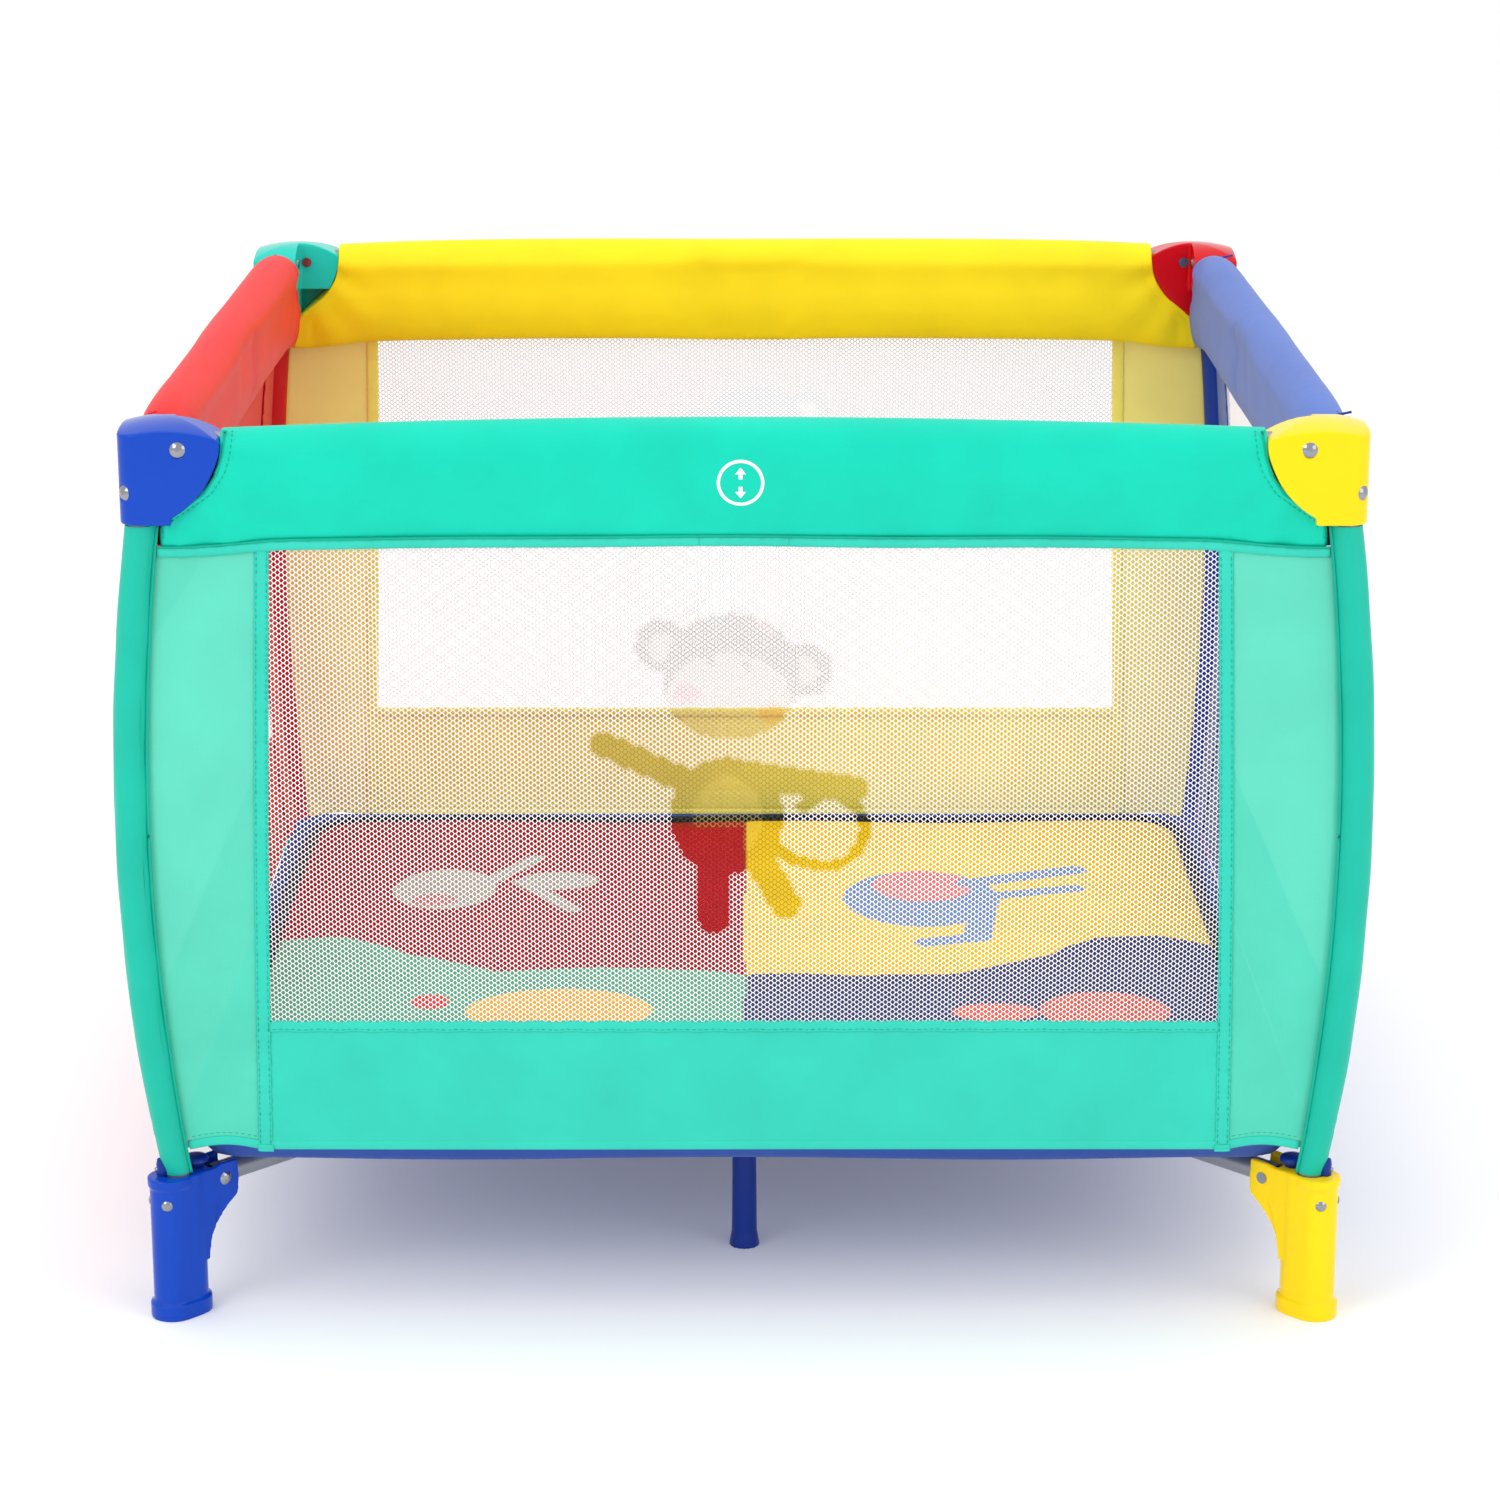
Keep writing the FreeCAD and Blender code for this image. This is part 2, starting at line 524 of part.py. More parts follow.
def build():
    for k, (corner, side, (first, last)) in enumerate(zip(CORNERS, SIDES, RAIL_ENDS)):
        keep(f"post_{corner}", post(corner), k)
        keep(f"post_sleeve_{corner}", post_sleeve(corner), k)
        keep(f"corner_cap_{corner}", corner_cap(corner), k)
        keep(f"foot_{corner}", foot(corner), k)
        keep(f"rivets_{corner}", rivets(corner), k)
        keep(f"base_tube_{corner}", base_tube(corner), k)
        keep(f"{side}_rail_{first}", half_rail(f"{side}_{first}", -1), k)
        keep(f"{side}_rail_{last}", half_rail(f"{side}_{last}", 1), k)
        keep(f"rail_lock_{side}", rail_lock(side), k)
        keep(f"release_button_{side}", release_button(side), k)
        keep(f"lock_pins_{side}", lock_pins(side), k)
        keep(f"rail_cover_{side}", rail_cover(side), k)
        keep(f"wall_{side}", wall(side), k)
    for side, k in (("front", 0), ("back", 2)):
        keep(f"mid_strut_{side}", mid_strut(side), k)
        keep(f"mid_foot_{side}", mid_foot(side), k)
    keep("hub", hub())
    keep("hub_pins", hub_pins())
    keep("floor_cloth", floor_cloth())
    keep("play_mat", play_mat())


def write_out():
    """Labels, checks and writes every node."""
    for name, item in made.items():
        item.Label = name
    doc.recompute()
    broken = [item.Name for item in doc.Objects if {"Invalid", "Error"} & set(item.State)]
    broken += [name for name, item in made.items() if item.Shape.isNull() or not item.Shape.isValid()]
    if broken:
        raise SystemExit(f"not built: {broken}")
    os.makedirs("parts", exist_ok=True)
    for name, item in made.items():
        item.Shape.exportStep(f"parts/{name}.step")
        print(f"{name}: {len(item.Shape.Solids)} solids, {item.Shape.Volume / 1000:.1f} cm3")
    print(len(made), "nodes")


build()
write_out()
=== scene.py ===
import math
import bpy
import bmesh
import numpy as np
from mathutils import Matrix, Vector
from mathutils.bvhtree import BVHTree


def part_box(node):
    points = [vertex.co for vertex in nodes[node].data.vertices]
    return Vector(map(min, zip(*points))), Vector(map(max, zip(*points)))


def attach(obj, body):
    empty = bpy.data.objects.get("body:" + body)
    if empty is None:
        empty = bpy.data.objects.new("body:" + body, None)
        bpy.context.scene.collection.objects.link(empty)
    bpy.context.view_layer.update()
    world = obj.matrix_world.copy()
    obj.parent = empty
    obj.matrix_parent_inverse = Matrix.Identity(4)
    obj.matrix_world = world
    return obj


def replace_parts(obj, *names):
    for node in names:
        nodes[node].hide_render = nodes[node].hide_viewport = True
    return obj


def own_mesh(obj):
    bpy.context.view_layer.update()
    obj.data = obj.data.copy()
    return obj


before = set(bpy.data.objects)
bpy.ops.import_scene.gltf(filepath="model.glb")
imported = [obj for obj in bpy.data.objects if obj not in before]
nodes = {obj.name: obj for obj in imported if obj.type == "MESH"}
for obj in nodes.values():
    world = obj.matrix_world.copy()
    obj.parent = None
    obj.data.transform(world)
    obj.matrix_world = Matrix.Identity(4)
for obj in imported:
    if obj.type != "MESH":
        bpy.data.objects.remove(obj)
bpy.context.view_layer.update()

# sides run anticlockwise seen from above; each starts at the corner of the same number
sides = ["front", "right", "back", "left"]
corners = ["front_left", "front_right", "back_right", "back_left"]
railEnds = [("left", "right"), ("front", "back"), ("right", "left"), ("back", "front")]
sideColour = {"front": "teal", "right": "blue", "back": "yellow", "left": "red"}


def low(name):
    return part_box(name)[0]


def high(name):
    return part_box(name)[1]


# lines of the frame that the soft parts follow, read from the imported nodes
postLine = -(low("front_rail_left").y + high("front_rail_left").y) / 2
bowOut = high("wall_right").x - 0.0012 - postLine
bowMiddle, bowReach = 0.430, 0.320
wallLow, wallTop = low("wall_front").z, high("wall_front").z
bandTop = high("rail_cover_front").z


def bow(z):
    return bowOut * (1 - ((np.asarray(z, float) - bowMiddle) / bowReach) ** 2)


def ease(t):
    t = np.clip(t, 0, 1)
    return t * t * (3 - 2 * t)


def onSide(points, k):
    # (along, out, up) of a side seen from outside -> the frame, for side number k
    points = np.asarray(points, float)
    u, v, z = points[..., 0], points[..., 1], points[..., 2]
    x, y = [(u, -v), (v, u), (-u, v), (-v, -u)][k % 4]
    return np.stack([x, y, z], -1)


def sideLine(u, out, z, k):
    return onSide(np.stack([u, out, z], -1), k)


def around(count):
    return np.linspace(0, 2 * math.pi, count, endpoint=False)


def wave(a, b, seed, size=1.0):
    # slow smooth unevenness from a few sines, the same every run
    rng = np.random.default_rng(seed)
    total = 0
    for _ in range(5):
        fa, fb = rng.uniform(0.4, 1.6, 2) * 6.28 / size
        total = total + np.sin(fa * a + rng.uniform(0, 6.28)) * np.sin(fb * b + rng.uniform(0, 6.28))
    return total / 3


# ---- mesh making

def newSoup():
    return {"points": [], "faces": [], "slots": [], "count": 0}


def addFaces(soup, points, faces, slot=0):
    soup["points"].append(np.asarray(points, float).reshape(-1, 3))
    soup["faces"].append(np.asarray(faces, int) + soup["count"])
    soup["slots"].append(np.full(len(faces), slot))
    soup["count"] += len(soup["points"][-1])


def addGrid(soup, grid, slot=0, ring=False, loop=False, capped=False):
    # ring joins the last column to the first, loop the last row to the first
    rows, columns = grid.shape[:2]
    index = np.arange(rows * columns).reshape(rows, columns)
    if ring:
        index = np.hstack([index, index[:, :1]])
    if loop:
        index = np.vstack([index, index[:1]])
    quads = np.stack([index[:-1, :-1], index[:-1, 1:], index[1:, 1:], index[1:, :-1]], -1).reshape(-1, 4)
    if capped:
        half = columns // 2
        across = np.arange(half - 1)
        lid = np.stack([across, columns - 1 - across, columns - 2 - across, across + 1], -1)
        quads = np.vstack([quads, lid, lid[:, ::-1] + (rows - 1) * columns])
    addFaces(soup, grid, quads, slot)


def meshFrom(name, soup):
    points, faces = np.concatenate(soup["points"]), np.concatenate(soup["faces"])
    mesh = bpy.data.meshes.new(name)
    mesh.vertices.add(len(points))
    mesh.vertices.foreach_set("co", points.astype(np.float32).ravel())
    mesh.loops.add(faces.size)
    mesh.loops.foreach_set("vertex_index", faces.astype(np.int32).ravel())
    mesh.polygons.add(len(faces))
    mesh.polygons.foreach_set("loop_start", np.arange(0, faces.size, 4, dtype=np.int32))
    mesh.polygons.foreach_set("material_index", np.concatenate(soup["slots"]).astype(np.int32))
    mesh.update(calc_edges=True)
    mesh.shade_smooth()
    return mesh


def pointsOf(mesh):
    points = np.zeros(len(mesh.vertices) * 3)
    mesh.vertices.foreach_get("co", points)
    return points.reshape(-1, 3)


def workOn(mesh, action):
    # opens a mesh for editing, does one thing to it and writes it back
    work = bmesh.new()
    work.from_mesh(mesh)
    action(work)
    work.to_mesh(mesh)
    work.free()


def faceOutward(work):
    bmesh.ops.recalc_face_normals(work, faces=work.faces)


def addObject(name, data):
    made = bpy.data.objects.new(name, data)
    bpy.context.scene.collection.objects.link(made)
    return made


def makePiece(name, source, *materials, outward=False):
    mesh = source if isinstance(source, bpy.types.Mesh) else meshFrom(name, source)
    if outward:
        workOn(mesh, faceOutward)
    piece = addObject(name, mesh)
    for finish in materials:
        mesh.materials.append(finish)
    return piece


def applied(piece):
    # the piece's mesh with its modifiers worked in; none stays on the piece
    done = bpy.data.meshes.new_from_object(piece.evaluated_get(bpy.context.evaluated_depsgraph_get()))
    piece.modifiers.clear()
    return done


def sweep(soup, path, radius, slot=0, sidesRound=8, closed=False, flatten=1.0, up=(0, 0, 1)):
    # a cord along a path of points; flatten below 1 makes it a flat tape
    path = np.asarray(path, float)
    ahead = np.roll(path, -1, 0) - np.roll(path, 1, 0)
    if not closed:
        ahead[0], ahead[-1] = path[1] - path[0], path[-1] - path[-2]
    ahead /= np.linalg.norm(ahead, axis=1, keepdims=True) + 1e-12
    side = np.cross(ahead, np.asarray(up, float))
    side /= np.linalg.norm(side, axis=1, keepdims=True) + 1e-12
    over = np.cross(side, ahead)
    turn = around(sidesRound)
    width = np.broadcast_to(np.asarray(radius, float).reshape(-1, 1, 1), (len(path), 1, 1))
    grid = (path[:, None] + width * flatten * np.cos(turn)[None, :, None] * side[:, None]
            + width * np.sin(turn)[None, :, None] * over[:, None])
    addGrid(soup, grid, slot, ring=True, loop=closed, capped=not closed)


def stitches(soup, path, slot=0, pitch=0.0052, length=0.0034, thick=0.00045):
    # short raised threads one after another along a seam
    path = np.asarray(path, float)
    run = np.concatenate([[0], np.cumsum(np.linalg.norm(np.diff(path, axis=0), axis=1))])
    for start in np.arange(pitch / 2, run[-1] - length, pitch):
        at = np.linspace(start, start + length, 4)
        line = np.stack([np.interp(at, run, path[:, axis]) for axis in range(3)], -1)
        sweep(soup, line, np.array([0.35, 1, 1, 0.35]) * thick, slot, 4)


def smoothedCopy(name, cadName, look, finish, more=None, shaped=None):
    # a moulding from its CAD node: voxels, then smoothing, so its edges are rounded as moulded plastic is
    mesh = nodes[cadName].data.copy()
    mesh.materials.clear()

    def join(work):
        if more:
            work.from_mesh(meshFrom("more", more))
            faceOutward(work)

    workOn(mesh, join)
    piece = makePiece(name, mesh, finish)
    remesh = piece.modifiers.new("voxels", "REMESH")
    remesh.mode, remesh.voxel_size, remesh.adaptivity = "VOXEL", look["voxel"], 0
    smooth = piece.modifiers.new("soften", "SMOOTH")
    smooth.factor, smooth.iterations = 0.5, look["soften"]
    piece.data = done = applied(piece)
    if shaped:
        done.vertices.foreach_set("co", shaped(pointsOf(done)).ravel())
    done.name = name
    done.shade_smooth()
    if not done.materials:
        done.materials.append(finish)
    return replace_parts(piece, cadName)


# ---- finishes

def tone(red, green, blue):
    return tuple(((c / 255 + 0.055) / 1.055) ** 2.4 if c > 10 else c / 3295 for c in (red, green, blue)) + (1,)


def newFinish(name):
    finish = bpy.data.materials.new(name)
    finish.use_nodes = True
    tree = finish.node_tree
    return finish, tree, tree.nodes["Principled BSDF"]


def link(tree, a, outName, b, inName):
    tree.links.new(a.outputs[outName], b.inputs[inName])


def node(tree, kind, **values):
    made = tree.nodes.new(kind)
    for key, value in values.items():
        if key in made.inputs:
            made.inputs[key].default_value = value
        else:
            setattr(made, key, value)
    return made


def setInputs(made, values):
    for key, value in values.items():
        made.inputs[key].default_value = value


def mottle(tree, shader, colour, scale, spread, source=None):
    # the colour wanders a little between a darker and a lighter shade
    place = tree.nodes.get("Place") or node(tree, "ShaderNodeTexCoord", name="Place")
    noise = node(tree, "ShaderNodeTexNoise", Scale=scale, Detail=4.0)
    link(tree, place, "Object", noise, "Vector")
    steps = node(tree, "ShaderNodeMapRange")
    setInputs(steps, {"From Min": 0.3, "From Max": 0.7, "To Min": 1 - spread, "To Max": 1 + spread})
    link(tree, noise, "Fac", steps, "Value")
    mix = node(tree, "ShaderNodeVectorMath", operation="MULTIPLY")
    if source is None:
        mix.inputs[0].default_value = colour[:3]
    else:
        tree.links.new(source, mix.inputs[0])
    tree.links.new(steps.outputs["Result"], mix.inputs[1])
    link(tree, mix, "Vector", shader, "Base Color")
    return place, noise


def bumps(tree, shader, layers):
    # each layer is (height socket, strength, distance); they add up into one normal
    before = None
    for height, strength, distance in layers:
        bump = node(tree, "ShaderNodeBump", Strength=strength, Distance=distance)
        tree.links.new(height, bump.inputs["Height"])
        if before:
            link(tree, before, "Normal", bump, "Normal")
        before = bump
    link(tree, before, "Normal", shader, "Normal")


def weave(tree, place, pitch):
    # threads over and under each other, in all three directions, so a side of any heading shows them
    total = None
    for heading in ("X", "Y", "Z"):
        threads = node(tree, "ShaderNodeTexWave", bands_direction=heading, Scale=0.314 / pitch, Distortion=0.6)
        link(tree, place, "Object", threads, "Vector")
        if total is None:
            total = threads.outputs["Fac"]
        else:
            join = node(tree, "ShaderNodeMath", operation="ADD")
            tree.links.new(total, join.inputs[0])
            tree.links.new(threads.outputs["Fac"], join.inputs[1])
            total = join.outputs[0]
    return total


def fabric(name, colour, look):
    finish, tree, shader = newFinish(name)
    place, noise = mottle(tree, shader, colour, look.get("patches", 14), look.get("spread", 0.05))
    crease = node(tree, "ShaderNodeTexNoise", Scale=look.get("creases", 45), Detail=3.0, Distortion=0.8)
    link(tree, place, "Object", crease, "Vector")
    bumps(tree, shader, [
        (crease.outputs["Fac"], look.get("creaseDepth", 0.25), 0.002),
        (weave(tree, place, look.get("thread", 0.0011)), 0.12, 0.0003),
    ])
    setInputs(shader, {"Roughness": look.get("roughness", 0.62), "Sheen Weight": look.get("sheen", 0.06),
                       "Sheen Roughness": 0.45, "Specular IOR Level": look.get("specular", 0.2),
                       "Alpha": 1 - look.get("through", 0)})
    return finish


# plastic and metal differ in their grain and in how far the gloss wanders
plasticGrain = {"patches": 22, "spread": 0.03, "scale": 320, "detail": 2.0, "depth": 0.0006, "gloss": (0.8, 1.3)}
metalGrain = {"patches": 60, "spread": 0.06, "scale": 700, "detail": 3.0, "depth": 0.0004, "gloss": (0.7, 1.4)}


def grained(name, colour, look, grain):
    finish, tree, shader = newFinish(name)
    place, noise = mottle(tree, shader, colour, grain["patches"], look.get("spread", grain["spread"]))
    fine = node(tree, "ShaderNodeTexNoise", Scale=grain["scale"], Detail=grain["detail"])
    link(tree, place, "Object", fine, "Vector")
    bumps(tree, shader, [(fine.outputs["Fac"], 0.05, grain["depth"])])
    gloss = node(tree, "ShaderNodeMapRange")
    setInputs(gloss, {end: look["roughness"] * share for end, share in zip(("To Min", "To Max"), grain["gloss"])})
    link(tree, noise, "Fac", gloss, "Value")
    link(tree, gloss, "Result", shader, "Roughness")
    return finish, shader


def plastic(name, colour, look):
    finish, shader = grained(name, colour, look, plasticGrain)
    setInputs(shader, {"Specular IOR Level": 0.16, "Coat Weight": look.get("coat", 0.14), "Coat Roughness": 0.06})
    return finish


def metal(name, colour, look):
    finish, shader = grained(name, colour, look, metalGrain)
    setInputs(shader, {"Metallic": look.get("metallic", 1.0)})
    return finish


# for each colour of fabric: cover, piping, side panel, lower band and, where a post has it, sleeve
fabricTones = {
    "teal": [(0, 203, 174), (6, 172, 146), (82, 206, 180), (50, 200, 178), (8, 182, 158)],
    "yellow": [(255, 226, 20), (222, 172, 14), (255, 240, 122), (255, 240, 114)],
    "red": [(240, 22, 24), (180, 18, 24), (236, 84, 72), (238, 60, 56), (214, 22, 28)],
    "blue": [(88, 118, 196), (30, 56, 140), (112, 134, 208), (96, 124, 200), (26, 66, 168)],
}
# the finish's key and its material's name, each after the colour, and its look
fabricParts = [
    ("", "Cover", {"roughness": 0.5, "specular": 0.2, "creaseDepth": 0.2, "sheen": 0.04}),
    ("Trim", "Piping", {"roughness": 0.6, "spread": 0.08}),
    ("Sheer", "Panel", {"roughness": 0.66, "through": 0.04, "creaseDepth": 0.1}),
    ("Lower", "LowerBand", {"roughness": 0.6, "creaseDepth": 0.22}),
    ("Sleeve", "PostSleeve", {"roughness": 0.5, "specular": 0.25, "creaseDepth": 0.2}),
]
finishes = {
    "chrome": metal("domedSteel", tone(150, 152, 158), {"roughness": 0.16, "spread": 0.05}),
    "tube": metal("greyTube", tone(150, 152, 158), {"roughness": 0.38, "metallic": 0.6}),
    "bluePlastic": plastic("mouldedBlue", tone(4, 66, 182), {"roughness": 0.15}),
    "yellowPlastic": plastic("mouldedYellow", tone(255, 214, 2), {"roughness": 0.15}),
    "redPlastic": plastic("mouldedRed", tone(208, 2, 16), {"roughness": 0.14}),
    "turquoisePlastic": plastic("mouldedTurquoise", tone(28, 200, 184), {"roughness": 0.15}),
    "navyPlastic": plastic("mouldedNavy", tone(18, 50, 138), {"roughness": 0.3, "coat": 0.1}),
    "greyPlastic": plastic("mouldedGrey", tone(96, 98, 102), {"roughness": 0.4, "coat": 0.1}),
    "floorCloth": fabric("floorClothBlue", tone(30, 72, 160), {"roughness": 0.6, "specular": 0.3}),
    "binding": fabric("matBinding", tone(12, 14, 44), {"roughness": 0.75, "spread": 0.1}),
    "badge": fabric("whitePrint", tone(240, 250, 247), {"roughness": 0.5, "spread": 0.02}),
}
for colour, shades in fabricTones.items():
    for shade, (part, ending, look) in zip(shades, fabricParts):
        finishes[colour + part] = fabric(colour + ending, tone(*shade), look)
print("finishes made")

# ---- the frame keeps its CAD nodes, in painted steel, chrome and moulded plastic
carried = {"post_": "tube", "rivets_": "chrome", "base_tube_": "tube", "lock_pins_": "chrome", "hub_pins": "chrome",
           "rail_lock_": "greyPlastic", "release_button_": "redPlastic", "mid_strut_": "tube", "hub": "greyPlastic",
           "front_rail": "tube", "right_rail": "tube", "back_rail": "tube", "left_rail": "tube"}
for name, cadNode in nodes.items():
    for start, key in carried.items():
        if name.startswith(start):
            cadNode.data.materials.clear()
            cadNode.data.materials.append(finishes[key])
            cadNode.data.shade_smooth()
            break

# ---- corner mouldings and feet
moulding = {"voxel": 0.0011, "soften": 6, "colours": ["blue", "yellow", "red", "turquoise"],
            "dome": 0.0062, "domeMiddle": 0.460, "domeReach": 0.042, "domeFoot": 0.728, "domeRise": 0.036}
# the foot's bracket in side view: distance inwards along the diagonal, lower edge, upper edge, half width
bracket = {"side": [(0.0040, 0.0300, 0.1262, 0.0158), (0.0195, 0.0320, 0.1266, 0.0046),
                    (0.0205, 0.0460, 0.1268, 0.0066), (0.0225, 0.0600, 0.1270, 0.0094),
                    (0.0262, 0.0730, 0.1273, 0.0124), (0.0320, 0.0835, 0.1277, 0.0148),
                    (0.0390, 0.0910, 0.1282, 0.0158), (0.0452, 0.0955, 0.1284, 0.0158),
                    (0.0478, 0.0985, 0.1284, 0.0158), (0.0484, 0.1020, 0.1282, 0.0154)],
           "slot": 0.0112, "slotFloor": 0.0985, "slotStart": 0.0225}


def bracketSoup(k):
    # a solid web under the slot and a cheek on each side of it
    soup = newSoup()
    run, foot, head, wide = np.array(bracket["side"]).T
    inward, side = onSide([[1, -1, 0], [1, 1, 0]], k) * math.sqrt(0.5)
    centre = onSide([-postLine, postLine, 0], k)
    late = run > bracket["slotStart"]
    slot = np.full(late.sum(), bracket["slot"])
    blocks = [(run, foot, np.where(late, bracket["slotFloor"], head[0]), -wide, wide),
              (run[late], foot[late], head[late], slot, wide[late]),
              (run[late], foot[late], head[late], -wide[late], -slot)]
    for a, under, over, left, right in blocks:
        under = np.minimum(under, over - 0.0005)
        outline = [(left, under), (right, under), (right, over), (left, over)]
        grid = np.stack([centre + a[:, None] * inward + across[:, None] * side + up[:, None] * np.array([0, 0, 1.0])
                         for across, up in outline], 1)
        addGrid(soup, grid, ring=True, capped=True)
    return soup


def domed(points):
    # a cap's top falls away a little towards its edges and the leaves' tips
    flat = np.abs(np.abs(points[:, :2]) - moulding["domeMiddle"])
    near = flat.max(1) / moulding["domeReach"]
    height = ease((points[:, 2] - moulding["domeFoot"]) / moulding["domeRise"])
    points[:, 2] -= moulding["dome"] * np.clip(near ** 2, 0, 1.1) * height
    return points


for k, corner in enumerate(corners):
    colour = moulding["colours"][k]
    for kind, more, shaped in (("corner_cap", None, domed), ("foot", bracketSoup(k), None)):
        piece = smoothedCopy(f"{kind}_moulding_{corner}", f"{kind}_{corner}", moulding, finishes[f"{colour}Plastic"],
                             more, shaped)
        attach(piece, f"{corner}_post")
for end in ("front", "back"):
    piece = smoothedCopy(f"mid_foot_moulding_{end}", f"mid_foot_{end}", moulding, finishes["navyPlastic"])
    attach(piece, f"mid_strut_{end}")
print("mouldings made")

# ---- padded covers over the folding rails; dips are for front, right, back and left
cover = {"half": 0.021, "crownZ": bandTop - 0.021, "seamZ": 0.6725, "seamOut": 0.0018, "lift": 0.003, "droop": 0.006,
         "dip": [0.0085, 0.008, 0.005, 0.008], "dipPower": [2, 10, 4, 10], "dipEnd": 0.415,
         "lock": 0.0358, "straight": 0.392, "gap": 0.0009, "end": 0.4700, "keep": 0.37,
         "innerFoot": [0.6695, 0.6695, 0.6645, 0.6695],
         # height and half length where the moulding's leaf crosses the cover
         "leaf": [(0.688, 0.472), (0.700, 0.4545), (0.713, 0.4365), (0.730, 0.4250), (0.745, 0.4205),
                  (0.757, 0.4190), (0.772, 0.4190)]}
wrinkles = {"fan": 0.0014, "fanFolds": 17, "slack": 0.0011, "sag": 0.0006, "seamIn": 0.0105, "seamPull": 0.0009}
postOut = float(bow(wallTop))


def coverReach(z):
    # how far along a cover goes at a height: up to the moulding's leaf edge, and under it to the post
    leafZ, leafU = np.array(cover["leaf"]).T
    return np.where(z < 0.689, cover["end"], np.minimum(cover["end"], np.interp(z, leafZ, leafU) - cover["gap"]))


def endDroop(along):
    return cover["droop"] * ease((np.abs(along) - 0.36) / 0.1)


def coverSection(foot):
    # (out, up) points round the cover, from the seam up the outer face, over the rail and down inside
    half, crown, seam = cover["half"], cover["crownZ"], cover["seamZ"]
    seamOut = postOut + cover["seamOut"]
    rise = np.linspace(0, 1, 15)
    outer = np.stack([seamOut + (half - seamOut) * ease(rise * 1.15) + 0.0022 * np.sin(rise * math.pi),
                      seam + (crown - seam) * rise], -1)
    turn = np.linspace(0, math.pi, 16)[1:-1]
    arch = np.stack([half * np.cos(turn), crown + half * np.sin(turn)], -1)
    # the inner face has a shallow valley under the rail and hangs nearly straight below it
    inner = np.array([(-half, crown), (-0.0185, 0.738), (-0.0180, 0.726), (-0.0187, 0.712), (-0.0180, 0.698),
                      (-0.0160, 0.686), (-0.0125, foot + 0.004), (-0.0095, foot), (-0.003, foot + 0.0005),
                      (postOut - cover["seamOut"], seam)])
    way = np.linspace(0, len(inner) - 1, 19)
    inner = np.stack([np.interp(way, range(len(inner)), inner[:, axis]) for axis in (0, 1)], -1)
    return np.vstack([outer, arch, inner])


def archOf(along, up, k):
    # the crown sits lower towards both ends, the seam a little higher in the middle
    ends = np.clip(np.abs(along) / cover["dipEnd"], 0, 1.01)
    dip = cover["dip"][k] * ends ** cover["dipPower"][k] * ease((up - 0.700) / 0.065)
    return 0.0008 - dip + cover["lift"] * (1 - ends ** 2) * ease((0.700 - up) / 0.02)


def coverGrid(k):
    section = coverSection(cover["innerFoot"][k])
    centre = np.linspace(-cover["straight"], cover["straight"], 133)
    for edge in (-cover["lock"], cover["lock"]):
        centre[np.argmin(abs(centre - edge))] = edge
    share = np.linspace(0, 1, 27)[1:]
    rows = [(None, s, -1) for s in share[::-1]] + [(u, 0, 0) for u in centre] + [(None, s, 1) for s in share]
    grid = np.zeros((len(rows), len(section), 3))
    for i, (u, s, way) in enumerate(rows):
        out, up = section[:, 0].copy(), section[:, 1].copy()
        if u is None:
            along = way * (cover["straight"] + (coverReach(up) - cover["straight"]) * s)
        else:
            along = np.full(len(out), u)
        skirt = np.clip((0.70 - up) / 0.03, 0, 1)
        up = up - endDroop(along) * skirt + archOf(along, up, k)
        # soft wrinkles that fan out from the mouldings, and a slack middle
        fan = ease((np.abs(along) - 0.34) / 0.10) * np.clip((0.475 - np.abs(along)) / 0.04, 0, 1)
        angle = np.arctan2(up - 0.775, 0.475 - np.abs(along))
        face = np.sign(out) * np.clip((bandTop - 0.004 - up) / 0.03, 0, 1)
        out = out + face * fan * wrinkles["fan"] * np.sin(angle * wrinkles["fanFolds"] + k)
        out = out + face * wrinkles["slack"] * wave(along, up * 3, 11 + k, 0.6)
        up = up + wrinkles["sag"] * wave(along, out, 31 + k, 0.45)
        # the stitched line beside the moulding pulls in
        beside = coverReach(section[:, 1]) - np.abs(along) - wrinkles["seamIn"]
        out = out - face * wrinkles["seamPull"] * np.exp(-(beside / 0.0016) ** 2)
        if i in (0, len(rows) - 1):
            out = out * 0.35 + 0.001
            up = np.clip(up, None, bandTop - 0.012)
        grid[i] = np.stack([along, out + postLine, up], -1)
    return grid


def puff(piece, pinned, look):
    # fills a sewn cover with air for a moment, keeps what it does and drops the simulation
    before = pointsOf(piece.data)
    group = piece.vertex_groups.new(name="sewn")
    group.add([int(i) for i in pinned], 1.0, "REPLACE")
    cloth = piece.modifiers.new("puff", "CLOTH")
    for setting, value in {"quality": 4, "mass": 0.2, "tension_stiffness": look["stiff"],
                           "compression_stiffness": look["stiff"], "shear_stiffness": look["stiff"] / 2,
                           "bending_stiffness": look["bend"], "use_pressure": True,
                           "uniform_pressure_force": look["pressure"], "vertex_group_mass": "sewn"}.items():
        setattr(cloth.settings, setting, value)
    cloth.settings.effector_weights.gravity = 0
    cloth.collision_settings.use_collision = False
    scene = bpy.context.scene
    for step in range(1, look["frames"] + 1):
        scene.frame_set(step)
    move = pointsOf(piece.evaluated_get(bpy.context.evaluated_depsgraph_get()).data) - before
    piece.modifiers.clear()
    piece.vertex_groups.clear()
    scene.frame_set(1)
    size = np.linalg.norm(move, axis=1, keepdims=True)
    move *= look["most"] * np.tanh(size / look["most"]) / np.maximum(size, 1e-9)
    piece.data.vertices.foreach_set("co", (before + move).astype(np.float32).ravel())
    piece.data.update()


